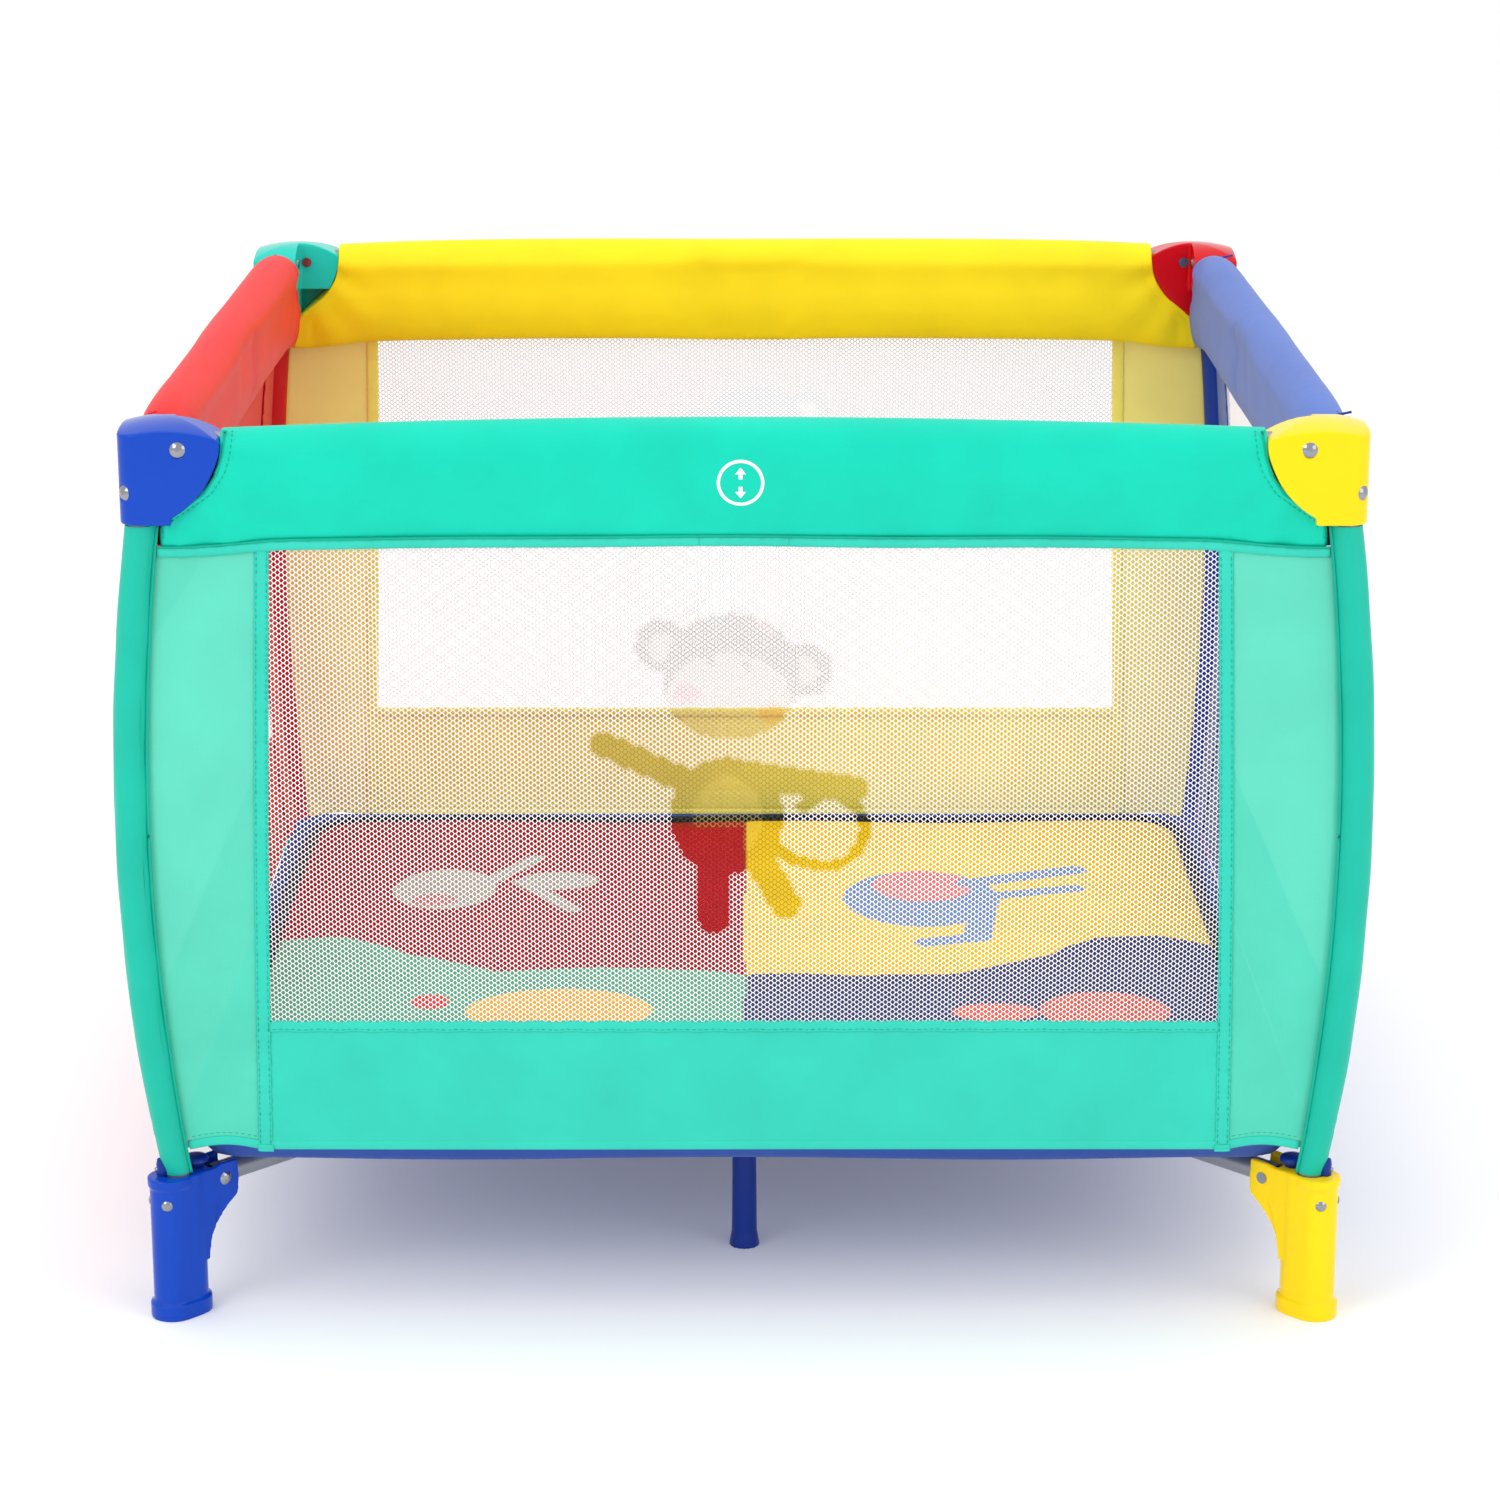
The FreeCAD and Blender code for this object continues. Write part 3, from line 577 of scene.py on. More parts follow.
def cutApart(whole, places, names, finish):
    # splits a finished mesh into pieces by its faces' centres; each keeps the whole one's shading normals
    points = pointsOf(whole)
    normals = np.zeros(points.size)
    whole.vertex_normals.foreach_get("vector", normals)
    normals = normals.reshape(-1, 3)
    faces = np.zeros(len(whole.polygons) * 4, int)
    whole.loops.foreach_get("vertex_index", faces)
    faces = faces.reshape(-1, 4)
    ink = whole.color_attributes.get("ink")
    if ink:
        inks = np.zeros(len(points) * 4)
        ink.data.foreach_get("color", inks)
        inks = inks.reshape(-1, 4)
    which = places(points[faces].mean(1))
    made = []
    for number, name in enumerate(names):
        used, again = np.unique(faces[which == number], return_inverse=True)
        soup = newSoup()
        addFaces(soup, points[used], again.reshape(-1, 4))
        mesh = meshFrom(name, soup)
        if ink:
            setInk(mesh, inks[used])
        mesh.normals_split_custom_set_from_vertices(normals[used].tolist())
        made.append(makePiece(name, mesh, finish))
    return made


def setInk(mesh, inks):
    mesh.color_attributes.new("ink", "FLOAT_COLOR", "POINT").data.foreach_set("color", inks.ravel())


def subdivided(piece, levels=1):
    smooth = piece.modifiers.new("finer", "SUBSURF")
    smooth.levels = smooth.render_levels = levels
    return applied(piece)


def treeOf(piece):
    return BVHTree.FromPolygons(pointsOf(piece.data).tolist(), [list(p.vertices) for p in piece.data.polygons])


def layOn(trees, points, k, lift, far=0.08):
    # drops (along, up) points onto a side's fabric from outside, a little proud of it
    points = np.asarray(points, float)
    flat = points.reshape(-1, 2)
    start = sideLine(flat[:, 0], np.full(len(flat), postLine + far), flat[:, 1], k)
    inward = Vector(onSide([0, -1, 0], k))
    placed = np.zeros((len(flat), 3))
    for i, at in enumerate(start):
        hits = [t.ray_cast(Vector(at), inward)[0] for t in trees]
        hits = [h for h in hits if h is not None]
        best = min(hits, key=lambda h: (h - Vector(at)).length) if hits else Vector(at) + inward * (far - 0.02)
        placed[i] = best - inward * lift
    return placed.reshape(points.shape[:-1] + (3,))


coverPuff = {"stiff": 12, "bend": 0.6, "pressure": 1.6, "frames": 12, "most": 0.003}
piping = {"wide": 0.0046, "flat": 0.62, "under": 0.0033, "seam": 0.0010, "end": 0.4705,
          "seamLine": 0.0105, "edgeLine": 0.0045, "edge": 0.0011}
coverPieces = {}
for k, side in enumerate(sides):
    colour = sideColour[side]
    grid = coverGrid(k)
    soup = newSoup()
    addGrid(soup, onSide(grid, k), ring=True, capped=True)
    whole = makePiece(f"whole_{side}", soup, finishes[colour], outward=True)
    rows, columns = grid.shape[:2]
    order = np.arange(rows * columns).reshape(rows, columns)
    nearLock = np.abs(np.abs(grid[:, 0, 0]) - cover["lock"]) < 0.004
    sewn = [order[:5], order[-5:], order[:, :2], order[:, -2:], order[nearLock]]
    puff(whole, np.concatenate([part.ravel() for part in sewn]), coverPuff)
    fine = subdivided(whole)
    bpy.data.objects.remove(whole)
    a, b = railEnds[k]
    names = [f"cover_{side}_{a}", f"cover_{side}_{b}", f"cover_{side}_lock"]
    bodies = [f"{side}_rail_{a}", f"{side}_rail_{b}", f"{side}_lock"]

    def coverPlace(at, k=k):
        along = [at[:, 0], at[:, 1], -at[:, 0], -at[:, 1]][k]
        return np.where(np.abs(along) < cover["lock"], 2, np.where(along < 0, 0, 1))

    made = cutApart(fine, coverPlace, names, finishes[colour])
    trees = [treeOf(p) for p in made]
    # piping under the seam, in the same three runs, and stitches beside the mouldings
    runs = [(-piping["end"], -cover["lock"]), (cover["lock"], piping["end"]), (-cover["lock"], cover["lock"])]
    for piece, body, (start, end), name in zip(made, bodies, runs, names):
        trim = newSoup()
        u = np.linspace(start, end, 181)
        z = cover["seamZ"] - piping["under"] - endDroop(u) + archOf(u, 0.67, k) + 0.0006 * wave(u, u * 0, 51 + k, 0.35)
        crumple = 0.0005 * np.sin(u * 310 + k) * np.sin(u * 47) + 0.0003 * np.sin(u * 760)
        out = postLine + postOut + 0.0012 + crumple + 0.0006 * wave(u, u * 0, 52 + k, 0.3)
        sweep(trim, sideLine(u, out, z, k), piping["wide"], 1, 12, flatten=piping["flat"])
        sweep(trim, sideLine(u, postLine + postOut + 0.0036 + 0 * u, z + 0.0042, k), piping["seam"], 0, 6)
        if not name.endswith("lock"):
            way = np.sign(start)
            z = np.linspace(0.682, 0.764, 40)
            line = np.stack([way * (coverReach(z) - piping["seamLine"]), z], -1)
            stitches(trim, layOn(trees, line, k, 0.0002), 0, thick=0.0004)
            z = np.linspace(0.676, 0.764, 40)
            line = np.stack([way * (coverReach(z) - piping["edgeLine"]), z], -1)
            sweep(trim, layOn(trees, line, k, -0.0002), piping["edge"], 0, 6)
        edging = makePiece(f"piping_{name[6:]}", trim, finishes[f"{colour}Trim"], finishes[f"{colour}Lower"],
                           outward=True)
        for item in (piece, edging):
            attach(item, body)
            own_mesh(item)
    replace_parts(made[2], f"rail_cover_{side}")
    coverPieces[side] = (made, trees)
print("rail covers made")

# ---- round emblem on the front lock's cover: a ring with an arrow up and an arrow down
emblem = {"at": (-0.0025, 0.7225), "outer": 0.0192, "inner": 0.0162, "lift": 0.0004, "sunk": -0.0003, "edge": 0.0004,
          # half the arrow's shaft and its head, as two four-cornered patches
          "arrow": [[(-0.0016, 0.0030), (0.0016, 0.0030), (-0.0016, 0.0072), (0.0016, 0.0072)],
                    [(-0.0044, 0.0072), (0.0044, 0.0072), (-0.0004, 0.0124), (0.0004, 0.0124)]]}
soup = newSoup()
turn = around(72)
made, trees = coverPieces["front"]
ringGrid = []
for radius, lift in ((emblem["inner"], emblem["sunk"]), (emblem["inner"] + emblem["edge"], emblem["lift"]),
                     ((emblem["inner"] + emblem["outer"]) / 2, emblem["lift"] * 1.2),
                     (emblem["outer"] - emblem["edge"], emblem["lift"]), (emblem["outer"], emblem["sunk"])):
    flat = np.stack([emblem["at"][0] + radius * np.cos(turn), emblem["at"][1] + radius * np.sin(turn)], -1)
    ringGrid.append(layOn(trees, flat, 0, lift))
addGrid(soup, np.stack(ringGrid), ring=True)
for way in (1, -1):
    for strip in emblem["arrow"]:
        rows, columns = np.linspace(0, 1, 4)[:, None, None], np.linspace(0, 1, 4)[None, :, None]
        a, b, c, d = np.array(strip)
        flat = (1 - rows) * ((1 - columns) * a + columns * b) + rows * ((1 - columns) * c + columns * d)
        addGrid(soup, layOn(trees, flat * [1, way] + np.array(emblem["at"]), 0, emblem["lift"]))
badge = makePiece("lock_emblem_front", soup, finishes["badge"])
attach(badge, "front_lock")
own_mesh(badge)
print("emblem made")

# ---- walls: a net window between sheer panels over a solid lower band
wall = {"windowTop": 0.3815, "windowFoot": 0.3925, "windowLow": 0.266, "strip": 0.0118, "keep": 0.204,
        "sleeveGap": 0.0135, "hang": 0.0065, "flapFoot": 0.560, "tuck": 0.006, "slack": 0.0012,
        "hemWide": 0.0040, "ledgeWide": 0.0046, "tabHalf": 0.0065, "thread": 0.00035}


def windowEdge(z):
    z = np.asarray(z, float)
    return wall["windowTop"] + (wall["windowFoot"] - wall["windowTop"]) * (wallTop - z) / (wallTop - wall["windowLow"])


def beside(way, more):
    # a line up the wall beside the window, on the left or the right
    return lambda z: way * (windowEdge(z) + more)


def wallOut(u, z, k, lift=0.0):
    # the fabric's distance from the middle, bowed with the posts and a little slack between them
    slack = wall["slack"] * wave(u, z, 71 + k, 0.5) * np.clip((0.46 - np.abs(u)) / 0.1, 0, 1)
    return postLine + bow(z) + slack + lift


def onWall(u, z, k, lift, crumple=0.0):
    # a line of points on a side's wall, in the frame
    return sideLine(u, wallOut(u, z, k, lift) + crumple, z, k)


def hemZ(u):
    # the wall's lower edge lifts a little between the seam and the post
    share = np.clip((np.abs(u) - 0.405) / 0.06, 0, 1)
    return wallLow - wall["hang"] + 0.0045 * np.sin(share * math.pi)


# a plain little bear, printed on the front and back nets: (kind, numbers, ink) in metres on the wall
figureInks = {"grey": tone(92, 90, 94), "pale": tone(216, 206, 202), "pink": tone(236, 116, 136),
              "brown": tone(84, 92, 8), "light": tone(196, 184, 96), "red": tone(232, 24, 22)}
figure = [
    ("limb", (-0.030, 0.468, -0.115, 0.507, 0.0105), "brown"), ("limb", (0.000, 0.482, 0.090, 0.469, 0.0115), "brown"),
    ("limb", (-0.026, 0.425, -0.025, 0.357, 0.0125), "brown"), ("limb", (0.004, 0.425, 0.034, 0.371, 0.0125), "brown"),
    ("curl", (0.068, 0.436, 0.036, 0.0048), "brown"), ("limb", (0.015, 0.424, 0.048, 0.406, 0.0050), "brown"),
    ("round", (-0.014, 0.446, 0.046, 0.050), "brown"), ("round", (-0.013, 0.447, 0.028, 0.034), "light"),
    ("round", (-0.066, 0.588, 0.022, 0.022), "grey"), ("round", (0.050, 0.569, 0.022, 0.022), "grey"),
    ("round", (-0.065, 0.587, 0.012, 0.012), "pale"), ("round", (0.049, 0.569, 0.012, 0.012), "pale"),
    ("round", (-0.010, 0.563, 0.056, 0.052), "grey"), ("round", (-0.012, 0.547, 0.050, 0.036), "pale"),
    ("round", (-0.046, 0.550, 0.010, 0.008), "pink"), ("round", (0.022, 0.534, 0.010, 0.008), "pink"),
    ("round", (-0.026, 0.577, 0.0038, 0.0045), "grey"), ("round", (0.002, 0.572, 0.0038, 0.0045), "grey"),
]
trousers = 0.4395  # the left leg and hip are red below this height


def inShape(kind, size, a, b):
    # which points (a, b) lie in a printed shape: a round, a limb with round ends, or a curl that tapers
    a, b = a - size[0], b - size[1]
    if kind == "round":
        return (a / size[2]) ** 2 + (b / size[3]) ** 2 < 1
    if kind == "limb":
        run = np.array(size[2:4]) - np.array(size[:2])
        along = np.clip((a * run[0] + b * run[1]) / (run ** 2).sum(), 0, 1)
        return np.hypot(a - along * run[0], b - along * run[1]) < size[4]
    turn = np.arctan2(b, a)
    return (np.abs(np.hypot(a, b) - size[2] * (0.84 - 0.12 * turn / math.pi)) < size[3]) & (turn > -2.3) & (turn < 2.5)


def printed(u, z):
    # the ink at each point of the wall, and where there is any
    ink, inside = np.zeros(u.shape + (4,)), np.zeros(u.shape, bool)
    for kind, size, name in figure:
        here = inShape(kind, size, u, z)
        ink[here], inside = figureInks[name], inside | here
    ink[inside & (z < trousers) & (u < 0)] = figureInks["red"]
    return ink, inside


net = {"across": 0.00593, "down": 0.00433, "hole": 0.80, "inkHole": 0.82, "low": 0.262, "top": 0.674, "columns": 70,
       "knot": 0.00015}


def netSoup(k, half, drawn, top):
    # six-sided meshes, each a ring of four-cornered faces round its hole
    across, down = net["across"], net["down"]
    rows = np.arange(int((top - net["low"]) / down * 2))
    column, row = np.meshgrid(np.arange(-net["columns"], net["columns"] + 1), rows)
    u = ((column + 0.5 * (row % 2)) * across + across / 4).ravel()
    z = (net["low"] + (row + 1) * down / 2).ravel()
    mine = (np.abs(u) < windowEdge(z) + wall["tuck"]) & ((u < 0) if half == 0 else (u >= 0))
    u, z = u[mine], z[mine]
    wide, slim = (across ** 2 + down ** 2) / (4 * across), (across ** 2 - down ** 2) / (4 * across)
    ring = np.array([(wide, 0), (slim, down / 2), (-slim, down / 2), (-wide, 0), (-slim, -down / 2), (slim, -down / 2)])
    ink, inside = printed(u, z)
    if not drawn:
        inside[:] = False
    share = np.where(inside, net["inkHole"], net["hole"])
    outer = np.stack([u, z], -1)[:, None] + ring
    inner = np.stack([u, z], -1)[:, None] + ring * share[:, None, None]
    keys = np.round(outer / 1e-5).astype(np.int64)
    keys = (keys[..., 0] * 1000000 + keys[..., 1]).ravel()
    _, first, again = np.unique(keys, return_index=True, return_inverse=True)
    knots = outer.reshape(-1, 2)[first]
    flat = np.vstack([knots, inner.reshape(-1, 2)])
    a = again.reshape(-1, 6)
    b = np.arange(len(u) * 6).reshape(-1, 6) + len(knots)
    faces = np.stack([a, b, np.roll(b, -1, 1), np.roll(a, -1, 1)], -1).reshape(-1, 4)
    out = wallOut(flat[:, 0], flat[:, 1], k)
    out[:len(knots)] += net["knot"]
    soup = newSoup()
    addFaces(soup, sideLine(flat[:, 0], out, flat[:, 1], k), faces)
    soup["slots"] = [np.repeat(inside.astype(int), 6)]
    inks = np.vstack([np.zeros((len(knots), 4)), np.repeat(ink, 6, 0)])
    inks[a[inside].ravel()] = np.repeat(ink[inside], 6, 0)
    return soup, inks, len(u) * across * down / 2


def netFinish(name, inked, through):
    finish, tree, shader = newFinish(name)
    source = node(tree, "ShaderNodeVertexColor", layer_name="ink").outputs["Color"] if inked else None
    place, noise = mottle(tree, shader, tone(246, 240, 242), 30, 0.025, source)
    bumps(tree, shader, [(weave(tree, place, 0.0009), 0.3, 0.0003)])
    setInputs(shader, {"Roughness": 0.6, "Alpha": 1 - through})
    return finish


def panelGrid(start, end, foot, top, k, columns, rows, lift=0.0):
    # a piece of a side's wall between two edge lines, each a function of height, and two heights
    t = np.linspace(0, 1, columns)[None, :]
    s = np.linspace(0, 1, rows)[:, None]
    middle = foot + (top - foot) * s
    u = start(middle) + (end(middle) - start(middle)) * t
    z = middle + 0 * u
    if foot <= wallLow:
        # its lowest fifth follows the hem
        z = np.where(s < 0.2, middle + (hemZ(u) - wallLow) * (1 - s / 0.2), middle)
    return onWall(u, z, k, lift)


def toPost(piece, k):
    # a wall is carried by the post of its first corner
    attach(piece, f"{corners[k]}_post")
    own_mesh(piece)


def clothPanel(name, part, edges, heights, k, counts, lift):
    # a stretched piece of plain wall cloth
    soup = newSoup()
    addGrid(soup, panelGrid(*edges, *heights, k, *counts, lift))
    piece = makePiece(name, soup, finishes[sideColour[sides[k]] + part])
    return piece


netWhite = netFinish("whiteNet", False, 0.0)
netInk = netFinish("printedNet", True, 0.54)
for k, side in enumerate(sides):
    colour = sideColour[side]
    hasFlap = side == "left"
    parts = []
    for half, end in enumerate(("a", "b")):
        top = wall["flapFoot"] + 0.008 if hasFlap else net["top"]
        soup, inks, area = netSoup(k, half, side in ("front", "back"), top)
        mesh = meshFrom(f"net_{side}_{end}", soup)
        setInk(mesh, inks)
        piece = makePiece(f"net_{side}_{end}", mesh, netWhite, netInk)
        parts.append(piece)
    for way, end in ((-1, "a"), (1, "b")):
        def postEdge(z, way=way):
            return way * (postLine + bow(z) - wall["sleeveGap"])

        parts.append(clothPanel(f"side_panel_{side}_{end}", "Sheer", (beside(way, 0.004), postEdge),
                                (wallLow, wallTop + 0.004), k, (22, 90), 0.0))
    edges = (beside(-1, wall["tuck"]), beside(1, wall["tuck"]))
    band = clothPanel(f"lower_band_{side}", "Lower", edges, (wallLow, wall["windowLow"] - 0.001), k, (120, 30), 0.0006)
    parts.append(band)
    if hasFlap:
        # this side alone has a band of solid fabric at the top of its window
        parts.append(clothPanel("upper_band_left", "Lower", edges, (wall["flapFoot"], wallTop + 0.004), k, (120, 30),
                                0.0004))

    # folded strips up both sides of the window and along the lower band, the hem, and their stitches
    trim = newSoup()
    for way in (-1, 1):
        z = np.linspace(wallLow - wall["hang"] + 0.002, wallTop + 0.006, 150)
        u = way * (windowEdge(z) + wall["strip"] / 2 + 0.0004 * np.sin(z * 900 + k))
        crumple = 0.0005 * np.sin(z * 640 + way) * np.sin(z * 91 + k) + 0.0003 * np.sin(z * 1500)
        for lift in (0.0011, -0.0014):
            sweep(trim, onWall(u, z, k, lift, crumple), wall["strip"] / 2, 0, 12, flatten=0.17, up=onSide([1, 0, 0], k))
        for edge in (-0.36, 0.36):
            u = way * (windowEdge(z) + wall["strip"] * (0.5 + edge))
            stitches(trim, onWall(u, z, k, 0.0020), 1, thick=wall["thread"])
        # a folded end under the hem
        u = way * (windowEdge(wallLow) + wall["strip"] * 0.5) + np.linspace(-wall["tabHalf"], wall["tabHalf"], 8)
        for level in (-0.0010, 0.0018):
            line = sideLine(u, wallOut(u, u * 0 + wallLow, k, 0.0016), hemZ(u) + level, k)
            sweep(trim, line, 0.0018, 0, 8, flatten=0.6)
    reach = windowEdge(0.26) + 0.001
    u = np.linspace(-reach, reach, 240)
    z = wall["windowLow"] - 0.004 + 0.0004 * np.sin(u * 210 + k)
    crumple = 0.0003 * np.sin(u * 700) * np.sin(u * 83 + k)
    for lift in (0.0012, -0.0014):
        sweep(trim, onWall(u, z, k, lift, crumple), wall["ledgeWide"], 0, 12, flatten=0.2)
    stitches(trim, sideLine(u, wallOut(u, z, k, 0.0021), z - 0.0022, k), 1, thick=wall["thread"])
    u = np.linspace(-0.466, 0.466, 260)
    sweep(trim, onWall(u, hemZ(u) + 0.0028, k, 0.0008), wall["hemWide"], 0, 12, flatten=0.3)
    for level in (0.0062, 0.0098):
        stitches(trim, sideLine(u, wallOut(u, hemZ(u), k, 0.0013), hemZ(u) + level, k), 1, thick=wall["thread"])
    piece = makePiece(f"net_strips_{side}", trim, finishes[f"{colour}Lower"], finishes[f"{colour}Trim"], outward=True)
    parts.append(piece)
    for piece in parts:
        toPost(piece, k)
    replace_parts(band, f"wall_{side}")
print("walls made")

# ---- fabric sleeves on the bowed posts, with a corded seam beside each panel
sleeve = {"wide": 0.0136, "foot": 0.0119, "cord": 0.0015, "cordsAt": [(0.0148, 0.0040), (-0.0040, -0.0148)],
          "cordScale": 0.0143, "round": 0.088, "colours": ["teal", "teal", "blue", "red"]}
# an oval snap patch on the sleeve's foot, with its screw: (share of the half width, distance out) from middle to edge
snap = {"height": 0.131, "half": 0.0068, "tall": 0.0100, "headings": [(-1, -0.35), (1, -0.35), (1, 0.35), (-1, 0.35)],
        "patch": [(0.02, 0.0168), (0.5, 0.0168), (0.9, 0.0160), (1.0, 0.0148), (1.0, 0.0112)],
        "screw": [(0.02, 0.0186), (0.16, 0.0184), (0.28, 0.0176), (0.33, 0.0166), (0.33, 0.0150)]}
# a round fastener under the floor's corner, standing on the foot's bracket: (radius, height)
fastener = {"inward": 0.0155, "profile": [(0.0004, 0.1365), (0.006, 0.1366), (0.0095, 0.1358), (0.0112, 0.1335),
                                          (0.0108, 0.1312), (0.0070, 0.1298), (0.0062, 0.1262)]}
for k, corner in enumerate(corners):
    colour = sleeve["colours"][k]
    z = np.linspace(low(f"post_sleeve_{corner}").z - 0.001, high(f"post_sleeve_{corner}").z, 170)
    turn = np.linspace(0, 2 * math.pi, 41) + 0.8
    body = sleeve["foot"] + ((sleeve["wide"] - sleeve["foot"]) * ease((z - 0.135) / 0.12)
                             * (1 - 0.35 * ease((z - 0.56) / 0.12)))
    zz, tt = np.meshgrid(z, turn, indexing="ij")
    loose = np.clip(body[:, None] - sleeve["foot"], 0, 0.002) / 0.002
    radius = body[:, None] + 0.00045 * wave(zz, tt * 0.06, 91 + k, 0.1) * loose
    radius = radius + 0.0004 * np.sin(zz * 420 + 3 * np.sin(tt)) * ease((0.2 - zz) / 0.06) * (radius > 0.0121)
    centre = postLine + bow(zz)
    soup, cords = newSoup(), newSoup()
    addGrid(soup, sideLine(-centre + radius * np.cos(tt), centre + radius * np.sin(tt), zz, k))
    # the seam cords, one towards each of the two walls
    core = np.stack([-(postLine + bow(z)), postLine + bow(z), z], -1)
    for along, out in sleeve["cordsAt"]:
        away = np.array([along, out, 0]) * (body / sleeve["cordScale"])[:, None]
        sweep(cords, onSide(core + away, k), sleeve["cord"], 0, 8)
    piece = makePiece(f"post_sleeve_cover_{sides[k]}", soup, finishes[f"{colour}Sleeve"], outward=True)
    cords = makePiece(f"post_sleeve_cords_{sides[k]}", cords, finishes[f"{colour}Trim"], outward=True)
    for item in (piece, cords):
        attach(item, f"{corner}_post")
    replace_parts(piece, f"post_sleeve_{corner}")

    # the post's heading from the middle, -1 or 1 in x and in y
    a, b = (-1, 1, 1, -1)[k], (-1, -1, 1, 1)[k]
    facing = np.array([*snap["headings"][k], 0]) / math.hypot(*snap["headings"][k])
    across = np.array([-facing[1], facing[0], 0])
    out = postLine + float(bow(snap["height"]))
    centre = np.array([a * out, b * out, snap["height"]])
    ring = around(32)[:, None]
    soup = newSoup()
    for slot, (profile, tall) in enumerate(((snap["patch"], snap["tall"]), (snap["screw"], snap["half"]))):
        rows = []
        for share, out in profile:
            u = share * snap["half"] * np.cos(ring)
            # the patch bends round the post
            bent = out - u ** 2 / sleeve["foot"] / 2
            rows.append(centre + across * u + np.array([0, 0, 1]) * share * tall * np.sin(ring) + facing * bent)
        addGrid(soup, np.stack(rows), slot, ring=True, capped=True)
    piece = makePiece(f"sleeve_snap_{corner}", soup, finishes["navyPlastic"], finishes["chrome"], outward=True)
    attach(piece, f"{corner}_post")

    inset = postLine - fastener["inward"] * math.sqrt(0.5)
    ring = around(40)
    rows = [np.stack([a * inset + radius * np.cos(ring), b * inset + radius * np.sin(ring), height + 0 * ring], -1)
            for radius, height in fastener["profile"]]
    soup = newSoup()
    addGrid(soup, np.stack(rows), ring=True, capped=True)
    piece = makePiece(f"floor_fastener_{corner}", soup, finishes["navyPlastic"], outward=True)
    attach(piece, f"{corner}_post")
print("sleeves made")

# ---- floor cloth and play mat in four quarters, each folding with its own base tube
quarters = [(-1, -1), (1, -1), (1, 1), (-1, 1)]


def toTube(piece, k):
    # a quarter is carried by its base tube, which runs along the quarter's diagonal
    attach(piece, f"{corners[k]}_base_tube")
    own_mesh(piece)


def quarterOf(at):
    return np.where(at[:, 1] < 0, np.where(at[:, 0] < 0, 0, 1), np.where(at[:, 0] < 0, 3, 2))


def squareGrid(count):
    # places from -1 to 1 both ways, and each one's distance from the middle as squares have it
    s, t = np.meshgrid(np.linspace(-1, 1, 2 * count + 1), np.linspace(-1, 1, 2 * count + 1), indexing="ij")
    return s, t, np.maximum(np.abs(s), np.abs(t))


# its edge turns up inside the walls, its corners are cut to pass the posts, and it sags beside the edge
cloth = {"flat": 0.1292, "half": 0.4790, "cut": 0.0270, "rise": 0.0235, "turn": 0.030, "sag": 0.0034, "sagAt": 0.04}
s, t, size = squareGrid(96)
limit = (2 * cloth["half"] - cloth["cut"]) / cloth["half"]
pull = np.where(size > 0, np.minimum(1, limit * size / np.maximum(np.abs(s) + np.abs(t), 1e-9)), 1)
shape = 1 + (pull - 1) * np.clip((size - 0.8) / 0.2, 0, 1) ** 2
x, y = s * cloth["half"] * shape, t * cloth["half"] * shape
edge = (1 - size) * cloth["half"]
z = cloth["flat"] + cloth["rise"] * (1 - ease(edge / cloth["turn"])) - 0.0006 * np.abs(wave(x, y, 7, 0.7))
z = z + 0.0016 * ease(1 - edge / cloth["sagAt"]) * np.sin(x * 23 + 1) * np.sin(y * 23 + 0.5) * (edge > 0.004)
sagging = np.clip(1 - np.abs(edge - cloth["sagAt"]) / cloth["sagAt"], 0, 1) * (np.abs(x) < 0.44)
z = z - cloth["sag"] * ease(sagging * (0.65 + 0.35 * np.sin(x * 14 + y * 5 + 0.8)))
soup = newSoup()
addGrid(soup, np.stack([x, y, z], -1))
names = [f"floor_cloth_{corner}" for corner in corners]
for k, piece in enumerate(cutApart(meshFrom("clothWhole", soup), quarterOf, names, finishes["floorCloth"])):
    toTube(piece, k)
    if k == 0:
        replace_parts(piece, "floor_cloth")

mat = {"half": high("play_mat").x - 0.004, "low": 0.1316, "high": high("play_mat").z - 0.006, "round": 0.055,
       "edge": 0.014, "piping": 0.0052, "ripple": 0.0026, "rim": 0.1496, "waist": 0.010, "seam": 0.006}
matPuff = {"stiff": 10, "bend": 0.5, "pressure": 1.2, "frames": 14, "most": 0.006}
matInks = {"crimson": tone(160, 4, 28), "yellow": tone(246, 206, 30), "mint": tone(96, 180, 148),
           "slate": tone(46, 62, 112), "stone": tone(176, 172, 160), "ash": tone(170, 168, 156),
           "rose": tone(196, 120, 120), "sky": tone(110, 150, 196), "coral": tone(236, 128, 128),
           "orange": tone(246, 190, 72), "tomato": tone(226, 70, 66), "brick": tone(226, 90, 66),
           "salmon": tone(232, 104, 88), "straw": tone(240, 196, 80)}
